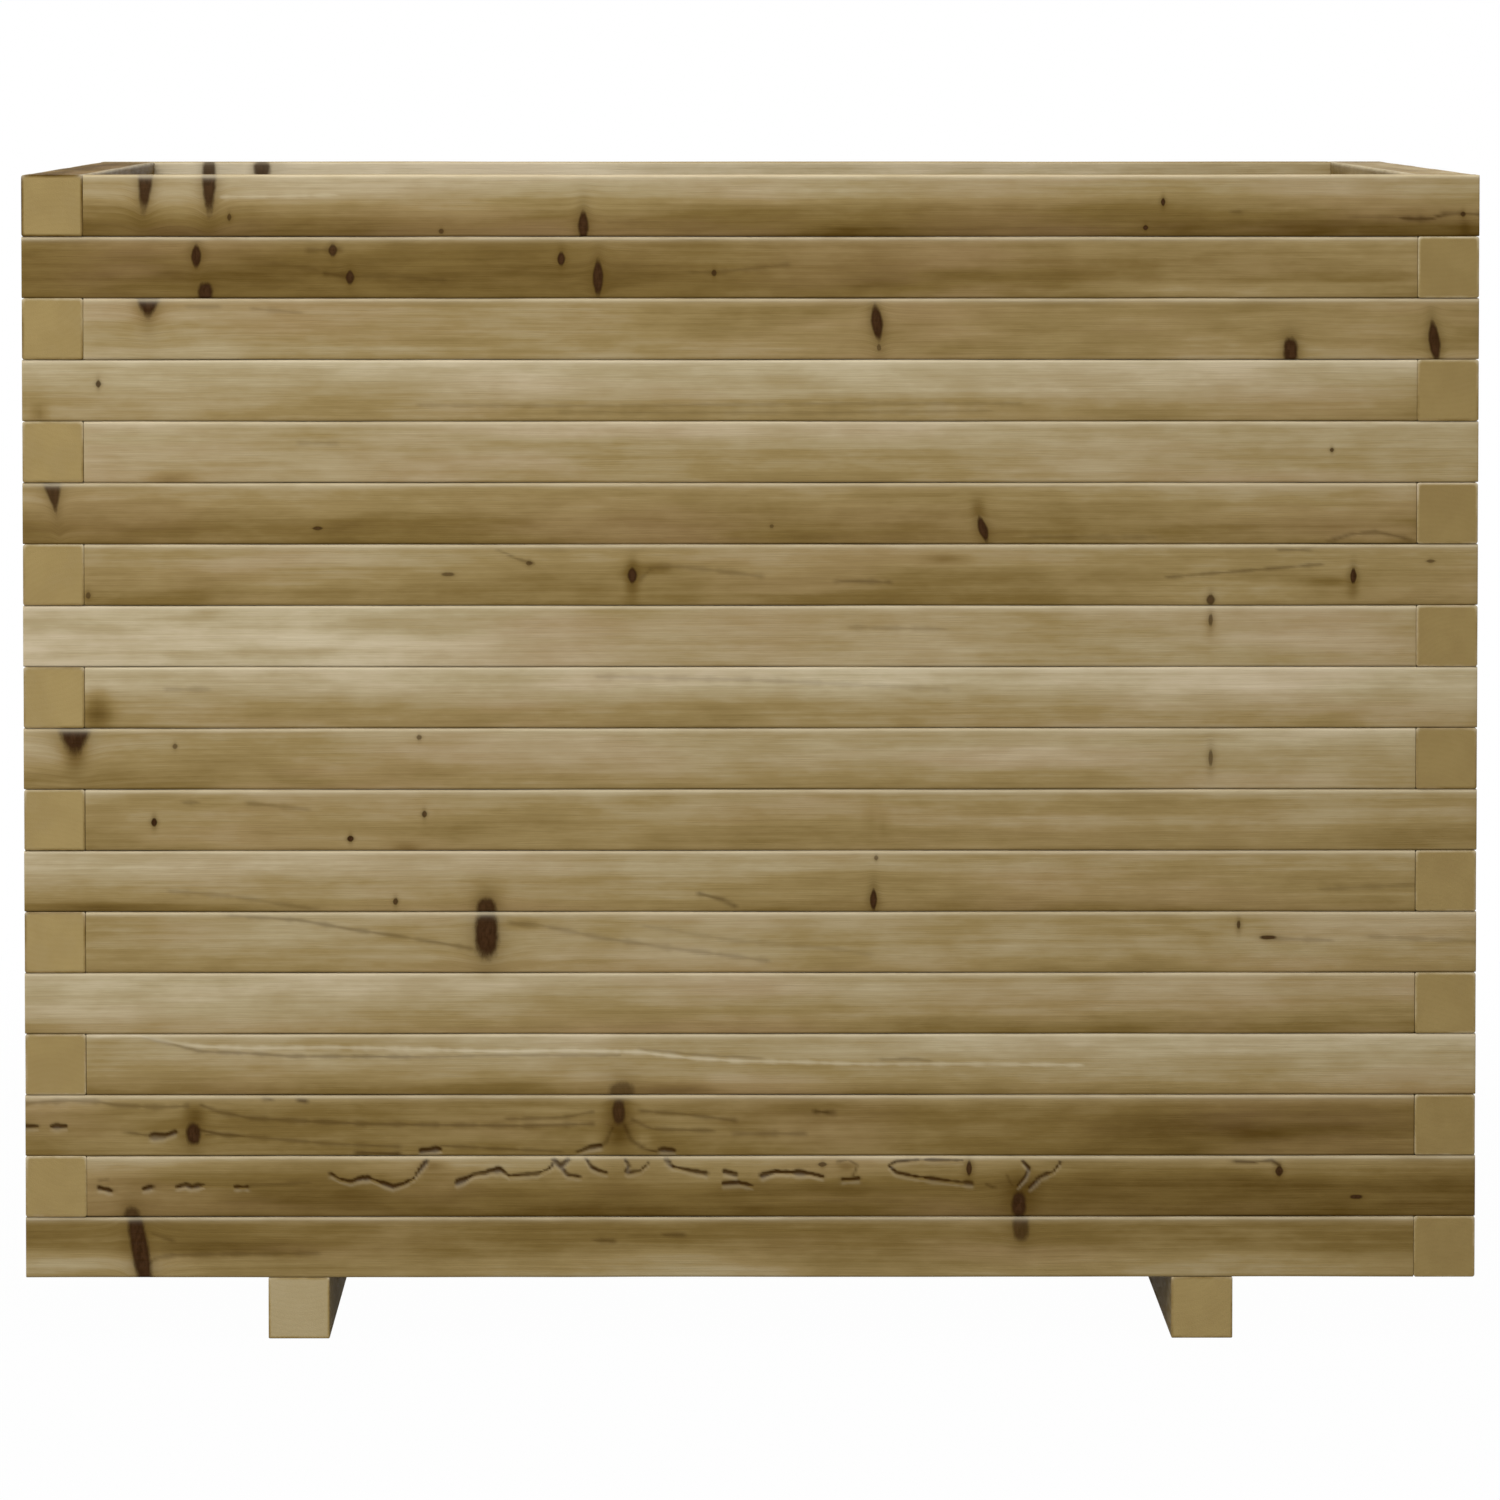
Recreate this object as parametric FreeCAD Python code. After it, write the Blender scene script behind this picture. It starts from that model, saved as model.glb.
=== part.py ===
import FreeCAD, Part
import math
import os

# Square garden planter of stacked pine timbers, in millimetres, +Z up, front towards -Y.
# The origin is on the ground, in the middle of the planter.
# Four timbers make a course. Each one butts against the next and runs past the one before it,
# like a pinwheel, and every second course turns the other way, so the corners interlock.
# Every timber is screwed down to the course below at both of its ends. Each screw lies nearer
# to its timber's end than the middle of the corner, so it misses the head of the screw below.
# Two runners carry the walls and the slatted floor.

# Overall size
planter_width = 900.0
planter_depth = 900.0
course_count = 18

# Wall timbers and runners, planed to the same square section
timber_side = 38.0
timber_edge_radius = 1.6
runner_edge_radius = 0.8
runner_inset = 150.5

# Floor slats, which lie inside the walls across both runners
slat_count = 8
slat_thickness = 18.0
slat_gap = 6.0
slat_end_clearance = 1.5
slat_edge_bevel = 1.5

# Countersunk wood screws that join two timbers
timber_screw_bite = 22.0
timber_screw_shank_radius = 2.25
timber_screw_head_radius = 4.5
timber_screw_point_length = 6.0
timber_screw_sink = 0.4
screw_from_timber_end = 12.0
runner_screw_spacing = 18.0

# Countersunk wood screws that hold the slats to the runners
floor_screw_bite = 22.0
floor_screw_shank_radius = 2.0
floor_screw_head_radius = 4.0
floor_screw_point_length = 5.0
floor_screw_sink = 0.3
floor_screws_per_crossing = 2
floor_screw_spacing = 50.0

# Flats that stand for a round: on a timber's long edge, and round a screw and its countersink
edge_flats = 4
screw_sides = 6

# Places worked out from the sizes above
half_width = planter_width / 2
half_depth = planter_depth / 2
inner_half_width = half_width - timber_side
inner_half_depth = half_depth - timber_side
wall_base = timber_side
runner_x = half_width - runner_inset - timber_side / 2
slat_width = (2 * inner_half_depth - (slat_count + 1) * slat_gap) / slat_count
slat_pitch = slat_width + slat_gap
slat_top = wall_base + slat_thickness

UP = FreeCAD.Vector(0, 0, 1)
DOWN = FreeCAD.Vector(0, 0, -1)


class Timber:
    """One square timber between two points of its centre line.

    Its long edges are rounded by a few narrow flats and its ends are sawn square. corner_end is
    the end that fills a corner of the wall, and butt_end the one that stops against the side of
    the next timber.
    """

    def __init__(self, corner_end, butt_end, edge_radius=timber_edge_radius):
        self.corner_end = corner_end
        self.butt_end = butt_end
        self.edge_radius = edge_radius
        self.along = (butt_end - corner_end).normalize()

    def solid(self):
        across = UP.cross(self.along)
        inset = timber_side / 2 - self.edge_radius
        points = []
        for side, height in ((1, 1), (-1, 1), (-1, -1), (1, -1)):
            arc_middle = self.corner_end + across * (side * inset) + UP * (height * inset)
            facing = math.atan2(height, side)
            for step in range(edge_flats + 1):
                angle = facing + (step / edge_flats - 0.5) * math.pi / 2
                spoke = across * math.cos(angle) + UP * math.sin(angle)
                points.append(arc_middle + spoke * self.edge_radius)
        section = Part.Face(Part.makePolygon(points + points[:1]))
        return section.extrude(self.butt_end - self.corner_end)

    def top_near(self, end):
        """The point on the top face where the screw near one end goes in."""
        inwards = self.along if end is self.corner_end else -self.along
        return end + inwards * screw_from_timber_end + UP * (timber_side / 2)


def course(number):
    """The four timbers of one course, counted from 1 at the bottom.

    In even courses the front timber fills the right front corner, and so on round the planter
    towards the back. In odd courses each timber fills the corner at its other end.
    """
    z = wall_base + (number - 0.5) * timber_side
    wall_x = half_width - timber_side / 2
    wall_y = half_depth - timber_side / 2
    turn = 1 if number % 2 == 0 else -1

    def along_x(side_y, sense):
        corner_end = FreeCAD.Vector(sense * half_width, side_y * wall_y, z)
        return Timber(corner_end, FreeCAD.Vector(-sense * inner_half_width, side_y * wall_y, z))

    def along_y(side_x, sense):
        corner_end = FreeCAD.Vector(side_x * wall_x, sense * half_depth, z)
        return Timber(corner_end, FreeCAD.Vector(side_x * wall_x, -sense * inner_half_depth, z))

    return {
        "front": along_x(-1, turn),
        "right": along_y(1, turn),
        "back": along_x(1, -turn),
        "left": along_y(-1, -turn),
    }


def runner(centre_x):
    """A foot that runs from the front face to the back face under the walls."""
    front = FreeCAD.Vector(centre_x, -half_depth, timber_side / 2)
    back = FreeCAD.Vector(centre_x, half_depth, timber_side / 2)
    return Timber(front, back, runner_edge_radius).solid()


def slat(index):
    """One floor board across both runners, its two upper long edges bevelled."""
    length = 2 * (inner_half_width - slat_end_clearance)
    y_low = slat_gap - inner_half_depth + index * slat_pitch
    board = Part.makeBox(length, slat_width, slat_thickness, FreeCAD.Vector(-length / 2, y_low, wall_base))
    top_edges = [e for e in board.Edges if e.BoundBox.ZMin > slat_top - slat_thickness / 2]
    long_edges = [e for e in top_edges if e.BoundBox.XLength > e.BoundBox.YLength]
    return board.makeChamfer(slat_edge_bevel, long_edges)


def faceted(stations, place, direction):
    """A solid with flat sides about a line that starts at place and runs along direction.

    stations are (radius, depth) pairs from its first flat end to its last one, where a radius of
    zero makes a point.
    """
    rings = []
    for radius, depth in stations:
        turns = range(screw_sides if radius else 1)
        angles = [2 * math.pi * i / screw_sides for i in turns]
        rings.append([FreeCAD.Vector(radius * math.cos(a), radius * math.sin(a), depth) for a in angles])
    outlines = [rings[0]] + [ring for ring in rings[-1:] if len(ring) > 1]
    for upper, lower in zip(rings, rings[1:]):
        for i in range(screw_sides):
            j = (i + 1) % screw_sides
            pair = [lower[i], lower[j]] if len(lower) > 1 else lower
            outlines.append([upper[j], upper[i]] + pair)
    faces = [Part.Face(Part.makePolygon(points + points[:1])) for points in outlines]
    solid = Part.Solid(Part.Shell(faces))
    solid.Placement = FreeCAD.Placement(place, FreeCAD.Rotation(UP, direction))
    return solid


class Screw:
    """A size of countersunk wood screw, whose head lies a little below the wood's surface."""

    def __init__(self, through, bite, shank_radius, head_radius, point_length, sink):
        self.length = through + bite
        self.shank_radius = shank_radius
        self.head_radius = head_radius
        self.point_length = point_length
        self.sink = sink

    def body(self, place, direction):
        head_bottom = self.sink + self.head_radius - self.shank_radius
        stations = [
            (self.head_radius, self.sink),
            (self.shank_radius, head_bottom),
            (self.shank_radius, self.length - self.point_length),
            (0, self.length),
        ]
        return faceted(stations, place, direction)

    def countersink(self, place, direction):
        """The hollow that the head has pressed into the wood, up to the surface."""
        head_bottom = self.sink + self.head_radius - self.shank_radius
        stations = [
            (self.head_radius, 0),
            (self.head_radius, self.sink),
            (self.shank_radius, head_bottom),
        ]
        return faceted(stations, place, direction)


TIMBER_SCREW = Screw(
    through=timber_side,
    bite=timber_screw_bite,
    shank_radius=timber_screw_shank_radius,
    head_radius=timber_screw_head_radius,
    point_length=timber_screw_point_length,
    sink=timber_screw_sink,
)
FLOOR_SCREW = Screw(
    through=slat_thickness,
    bite=floor_screw_bite,
    shank_radius=floor_screw_shank_radius,
    head_radius=floor_screw_head_radius,
    point_length=floor_screw_point_length,
    sink=floor_screw_sink,
)


def course_screw_places(number):
    """Where the screws of one course go in, two in each timber, down into the course below."""
    return [t.top_near(end) for t in course(number).values() for end in (t.corner_end, t.butt_end)]


def bottom_screw_places():
    """Where the screws of the lowest course go in from below, one in each timber's free end."""
    return [t.top_near(t.butt_end) - UP * timber_side for t in course(1).values()]


def runner_screw_places():
    """Where the screws go in from below, two through each end of each runner into the wall."""
    places = []
    for x in (-runner_x, runner_x):
        for wall_y in (timber_side / 2 - half_depth, half_depth - timber_side / 2):
            for y in (wall_y - runner_screw_spacing / 2, wall_y + runner_screw_spacing / 2):
                places.append(FreeCAD.Vector(x, y, 0))
    return places


def floor_screw_places():
    """Where the screws go in from above, in a row across each slat over each runner."""
    places = []
    for index in range(slat_count):
        slat_middle = slat_gap - inner_half_depth + slat_width / 2 + index * slat_pitch
        for i in range(floor_screws_per_crossing):
            y = slat_middle + (i - (floor_screws_per_crossing - 1) / 2) * floor_screw_spacing
            places += [FreeCAD.Vector(x, y, slat_top) for x in (-runner_x, runner_x)]
    return places


def cut_by(solid, tools):
    """The solid without the hollows of those tools that reach it."""
    near = [t for t in tools if t.BoundBox.intersect(solid.BoundBox)]
    return solid.cut(near) if near else solid


def export(name, solids):
    shape = solids[0] if len(solids) == 1 else Part.makeCompound(solids)
    shape.exportStep(os.path.join("parts", name + ".step"))


def export_walls():
    """The timbers. Only the heads that stay in view, on the rim and underneath, are countersunk."""
    rim_places = course_screw_places(course_count)
    hollows = [TIMBER_SCREW.countersink(place, DOWN) for place in rim_places]
    hollows += [TIMBER_SCREW.countersink(place, UP) for place in bottom_screw_places()]
    for number in range(1, course_count + 1):
        timbers = {side: cut_by(t.solid(), hollows) for side, t in course(number).items()}
        export(f"front_beam_{number:02d}", [timbers["front"]])
        export(f"back_beam_{number:02d}", [timbers["back"]])
        export(f"side_beams_{number:02d}", [timbers["left"], timbers["right"]])

    screws = [TIMBER_SCREW.body(place, UP) for place in bottom_screw_places()]
    for number in range(2, course_count + 1):
        screws += [TIMBER_SCREW.body(place, DOWN) for place in course_screw_places(number)]
    export("wall_screws", screws)


def export_base():
    """The runners and the floor, with the screws that hold them."""
    runner_hollows = [TIMBER_SCREW.countersink(place, UP) for place in runner_screw_places()]
    slat_hollows = [FLOOR_SCREW.countersink(place, DOWN) for place in floor_screw_places()]
    export("left_runner", [cut_by(runner(-runner_x), runner_hollows)])
    export("right_runner", [cut_by(runner(runner_x), runner_hollows)])
    export("floor_slats", [cut_by(slat(i), slat_hollows) for i in range(slat_count)])
    export("runner_screws", [TIMBER_SCREW.body(place, UP) for place in runner_screw_places()])
    export("floor_screws", [FLOOR_SCREW.body(place, DOWN) for place in floor_screw_places()])


def build():
    os.makedirs("parts", exist_ok=True)
    export_walls()
    export_base()


build()
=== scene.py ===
import math
from collections import namedtuple

import bpy
import numpy as np
from bpy.props import FloatProperty, FloatVectorProperty, IntProperty, PointerProperty
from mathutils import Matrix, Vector


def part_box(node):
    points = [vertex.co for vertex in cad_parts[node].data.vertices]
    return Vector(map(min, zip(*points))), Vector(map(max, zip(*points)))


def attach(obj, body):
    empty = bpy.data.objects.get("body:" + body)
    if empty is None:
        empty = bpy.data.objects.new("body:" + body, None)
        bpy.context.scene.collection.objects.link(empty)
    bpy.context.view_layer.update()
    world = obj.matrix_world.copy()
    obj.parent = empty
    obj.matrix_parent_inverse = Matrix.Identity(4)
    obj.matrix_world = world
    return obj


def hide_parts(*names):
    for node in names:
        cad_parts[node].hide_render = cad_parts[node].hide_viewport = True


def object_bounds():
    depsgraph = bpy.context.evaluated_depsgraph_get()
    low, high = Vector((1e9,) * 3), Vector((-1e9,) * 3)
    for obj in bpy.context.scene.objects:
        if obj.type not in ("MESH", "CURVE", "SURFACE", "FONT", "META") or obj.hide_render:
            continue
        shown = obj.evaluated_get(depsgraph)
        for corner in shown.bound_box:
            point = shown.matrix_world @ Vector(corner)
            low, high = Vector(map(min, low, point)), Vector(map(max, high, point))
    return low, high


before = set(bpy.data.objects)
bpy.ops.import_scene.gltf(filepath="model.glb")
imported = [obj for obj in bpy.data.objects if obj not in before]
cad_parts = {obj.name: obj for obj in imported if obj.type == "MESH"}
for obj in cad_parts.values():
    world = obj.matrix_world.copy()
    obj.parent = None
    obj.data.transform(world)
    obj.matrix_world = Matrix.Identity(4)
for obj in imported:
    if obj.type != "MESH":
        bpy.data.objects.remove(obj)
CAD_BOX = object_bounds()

bl_info = {
    "name": "Stacked timber planter",
    "version": (1, 0, 0),
    "blender": (4, 5, 0),
    "location": "View3D > Sidebar > Planter",
    "description": "Makes the timbers, runners, floor, screws and studio of a square wooden planter",
    "category": "Object",
}

MM = 0.001
UP = np.array((0.0, 0.0, 1.0))
COURSES = sum(1 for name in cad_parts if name.startswith("front_beam_"))
TIMBER_LOW, TIMBER_HIGH = (np.array(corner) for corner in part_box("front_beam_01"))
TIMBER_SIDE = float(TIMBER_HIGH[2] - TIMBER_LOW[2])
BODY_LOW, BODY_HIGH = (np.array(corner) for corner in CAD_BOX)

# Where the front face lies in the photograph, which is 1500 pixels square
PHOTO_MIDDLE_X = 750.08
PHOTO_TOP_Y = 174.9
PX_PER_M = 1613.9
PHOTO_ROW_PX = 61.32


def length_setting(name, description, default_mm, least_mm=0.0):
    """A length property whose default and least value are given in millimetres."""
    return FloatProperty(name=name, description=description, unit="LENGTH",
                         default=default_mm * MM, min=least_mm * MM)


class PlanterSizes(bpy.types.PropertyGroup):
    edge_radius: length_setting("Edge radius", "Round along a timber's four long edges", 1.6, 0.5)
    runner_radius: length_setting("Runner edge radius", "Round along a runner's long edges", 0.8, 0.2)
    end_ease: length_setting("End ease", "Small round where a sawn end meets the sides", 0.5, 0.1)
    unevenness: length_setting("Unevenness", "How far planing leaves a face below its flat", 0.25)
    crack_depth: length_setting("Crack depth", "Depth of the open cracks and tears", 0.6)
    slat_bevel: length_setting("Slat edge", "Round along a floor slat's long edges", 1.5, 0.2)
    fine_step: length_setting("Front step", "Mesh spacing of the front timbers along the grain", 3.6, 1.0)
    front_knot_step: length_setting("Front knot step", "Mesh spacing near a front timber's knot", 1.2, 0.5)
    coarse_step: length_setting("Plain step", "Mesh spacing of the other timbers", 20.0, 2.0)
    knot_step: length_setting("Knot step", "Mesh spacing near another timber's knot", 2.0, 0.5)
    slat_count: IntProperty(name="Slats", description="Number of floor slats", default=8, min=1)
    slat_gap: length_setting("Slat gap", "Gap between two floor slats", 6.0)
    screw_from_end: length_setting("Screw from end", "From a timber's end to its screw's middle", 12.0, 5.0)
    runner_screw_spacing: length_setting(
        "Runner screw spacing", "Between the two screws at one end of a runner", 18.0, 5.0)
    floor_screw_spacing: length_setting(
        "Floor screw spacing", "Between the two screws of a slat on one runner", 50.0, 5.0)
    hollow_depth: length_setting("Hollow depth", "Depth that a screw head has pressed in", 1.4, 0.5)


def paint(red, green, blue):
    """A colour named by its screen values, from 0 to 255, as the linear colour that shaders take."""
    screen = np.array((red, green, blue)) / 255.0
    linear = np.where(screen <= 0.04045, screen / 12.92, ((screen + 0.055) / 1.055) ** 2.4)
    return (*(round(float(part), 4) for part in linear), 1.0)


def colour_setting(name, description, *screen):
    """A colour property whose default is given by its screen values."""
    return FloatVectorProperty(name=name, description=description, subtype="COLOR", size=4,
                               min=0, max=1, default=paint(*screen))


class PlanterColours(bpy.types.PropertyGroup):
    darkest_wood: colour_setting("Darkest wood", "Wood soaked with resin", 42, 28, 12)
    dark_wood: colour_setting("Dark wood", "Brown lower edges and streaks", 84, 62, 18)
    deep_wood: colour_setting("Deep wood", "Olive-brown faces", 121, 99, 53)
    middle_wood: colour_setting("Middle wood", "Main colour of a planed face", 149, 128, 83)
    pale_wood: colour_setting("Pale wood", "Light faces", 173, 157, 121)
    palest_wood: colour_setting("Palest wood", "Raised fibres and worn edges", 210, 197, 168)
    # Palest wood also paints the highlight on the upper edges, along ridges and on crack lips.
    pink_tinge: colour_setting("Pinkish tinge", "Warmer tinge of some stretches", 165, 134, 104)
    knot_core: colour_setting("Knot", "Darkest part of a knot", 48, 27, 6)
    knot_heart: colour_setting("Knot heart", "Paler middle of a knot", 76, 50, 28)
    knot_rim: colour_setting("Knot rim", "Wood round a knot", 92, 70, 26)
    # On a crack the dark mark paints the shade in the tear.
    dark_mark: colour_setting("Dark mark", "Resin lines and cracks", 58, 36, 2)
    end_grain: colour_setting("End grain", "Sawn ends", 168, 146, 96)
    steel: colour_setting("Steel", "Zinc-plated screws", 196, 193, 184)


class StudioSettings(bpy.types.PropertyGroup):
    camera_place: FloatVectorProperty(
        name="Camera", description="Where the camera stands", subtype="TRANSLATION",
        unit="LENGTH", size=3, default=(-0.0394, -6.798, 0.789))
    camera_aim: FloatVectorProperty(
        name="Aim", description="Point in the middle of the picture", subtype="TRANSLATION",
        unit="LENGTH", size=3, default=(-0.0004, -0.45, 0.3664))
    lens: FloatProperty(
        name="Lens", description="Focal length on a sensor 36 mm wide, in millimetres",
        default=246.6, min=10.0)
    world_level: FloatProperty(
        name="Room light", description="Strength of the even light from all round",
        default=0.33, min=0.0)
    top_watts: FloatProperty(
        name="Top lamp", description="Power of the large soft lamp overhead, in watts",
        default=74.0, min=0.0)
    front_watts: FloatProperty(
        name="Front lamp", description="Power of the soft lamp in front, in watts",
        default=98.0, min=0.0)
    back_watts: FloatProperty(
        name="Back lamp", description="Power of the soft lamp behind, in watts",
        default=58.0, min=0.0)
    floor_size: FloatProperty(
        name="Floor size", description="Side of the square floor",
        default=60.0, min=4.0, unit="LENGTH")
    floor_white: FloatProperty(
        name="Floor white", description="Share of plain white that the camera sees on the floor",
        default=0.985, min=0.0, max=1.0)


# Marks of the front face, with places and half sizes in pixels of the photograph.
# A knot is an oval, and one that the upper edge cuts has its middle there. Depth, lean and taper
# are shares.
Knot = namedtuple("Knot", "x y half_width half_height depth lean taper", defaults=(1.0, 0.0, 0.0))
# A line follows a path of points. Its width is half of what shows.
Line = namedtuple("Line", "points width strength kind")
# A patch is a soft cloud, darker where amount is below zero and paler where it is above.
Patch = namedtuple("Patch", "x y half_width half_height amount")
# A face's tones from its upper edge down and from left to right, and how pink its clouds are.
Face = namedtuple("Face", "down across warmth")


def dark(width, strength, *points):
    """A resin line or a dark streak."""
    return Line(points, width, strength, "dark")


def crack(width, strength, *points):
    """An open tear, sunk into the wood: dark with painted shade in it, and with a pale lip below it that is
    a painted highlight.
    """
    return Line(points, width, strength, "crack")


def pale(width, strength, *points):
    """A pale line: the painted highlight along a ridge of raised fibres."""
    return Line(points, width, strength, "pale")


PALE, BRIGHT, LIGHT, FAIR, MID, EVEN = 1.22, 1.17, 1.12, 1.07, 1.02, 0.99
DULL, DEEP, MURKY, DARK, DIM, BLACKISH = 0.96, 0.90, 0.86, 0.82, 0.76, 0.70

# The front timbers' tones, from the top one down. They were set, and then corrected one by one
# until each stretch was about as bright as in the photograph.
FRONT_FACES = {
    1: Face((LIGHT, LIGHT, DULL, DARK, BLACKISH), (0.93, 0.99, 1.05, 0.92, 0.95, 0.96), 0.3),
    2: Face((MURKY, DARK, DIM, DIM, DARK), (0.90, 1.02, 1.0, 0.99, 1.07, 1.17), 0.2),
    3: Face((EVEN, EVEN, EVEN, EVEN, MID), (1.08, 1.0, 1.04, 0.92, 0.99, 0.98), 0.3),
    4: Face((PALE, BRIGHT, LIGHT, MID, EVEN), (1.0, 1.0, 1.03, 1.04, 0.96, 0.98), 0.2),
    5: Face((LIGHT, LIGHT, FAIR, FAIR, MID), (1.05, 0.98, 1.02, 1.03, 1.01, 1.03), 0.4),
    6: Face((MID, EVEN, DEEP, DARK, DARK), (0.97, 1.01, 0.96, 0.99, 1.08, 1.01), 0.2),
    7: Face((MID, MID, DULL, DULL, DEEP), (1.00, 1.09, 0.96, 0.93, 1.06, 1.02), 0.2),
    8: Face((LIGHT, FAIR, LIGHT, LIGHT, LIGHT), (1.12, 1.12, 0.96, 0.93, 1.0, 0.97), 0.3),
    9: Face((PALE, PALE, LIGHT, MID, EVEN), (0.99, 0.98, 1.0, 1.03, 1.03, 1.0), 0.3),
    10: Face((LIGHT, LIGHT, FAIR, MID, EVEN), (0.96, 0.97, 1.0, 1.02, 1.04, 1.08), 0.4),
    11: Face((FAIR, MID, MID, DULL, DULL), (1.0, 0.95, 1.02, 0.99, 0.98, 1.02), 0.2),
    12: Face((FAIR, LIGHT, MID, MID, DEEP), (1.03, 1.05, 1.0, 0.98, 0.95, 0.99), 0.2),
    13: Face((FAIR, FAIR, FAIR, FAIR, DULL), (0.98, 0.99, 1.03, 1.03, 0.97, 1.01), 0.25),
    14: Face((LIGHT, LIGHT, FAIR, MID, DEEP), (1.10, 1.05, 1.0, 0.99, 0.95, 0.95), 0.35),
    15: Face((LIGHT, LIGHT, FAIR, EVEN, DARK), (1.01, 0.96, 1.0, 1.03, 1.01, 1.07), 0.2),
    16: Face((EVEN, DEEP, MURKY, DEEP, DEEP), (1.02, 1.0, 1.0, 0.94, 0.91, 0.88), 0.12),
    17: Face((EVEN, DEEP, DIM, DIM, BLACKISH), (1.07, 1.02, 1.0, 1.0, 0.98, 0.94), 0.15),
    18: Face((DEEP, MURKY, MURKY, DULL, MID), (0.98, 1.0, 1.01, 1.0, 0.99, 0.99), 0.12),
}

# The rim's other three timbers, whose tops and inner sides show above the front one. Their levels are
# partly painted light and shade: the back one paler where light falls on its inner face, the left one
# darker where its inner face is in shade, the right one in between.
RIM_PAINTED_LIGHT_LEVELS = {"back": 1.32, "left": 0.64, "right": 0.90}
# The back one is paler at its left end, and its upper face is greyer
BACK_RIM_ACROSS, BACK_RIM_TOP = (1.02, 1.02, 1.0, 0.92, 0.82), 0.80
# The sawn ends that show at the front's left and right edge
END_LEVELS = {"back": 1.0, "left": 1.0, "right": 0.92}
RUNNER_END_LEVELS = {"left": 1.27, "right": 1.02}
# The back one's knots: (place, height, half width, half height, side), where side is 1 for its
# outer face and -1 for its inner one
BACK_RIM_KNOTS = [(0.076, 0.012, 0.0050, 0.012, -1), (0.113, 0.014, 0.0065, 0.007, -1),
                  (0.610, 0.0, 0.004, 0.006, 1)]
# How much of the upper edges' painted highlight, broken up like wear, the back one keeps
BACK_RIM_WEAR_AND_HIGHLIGHT = 0.3
# Lowest and highest level of a hidden wall timber, and of a runner or slat
WALL_LEVELS, BASE_LEVELS = (0.88, 1.10), (0.95, 1.05)

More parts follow.
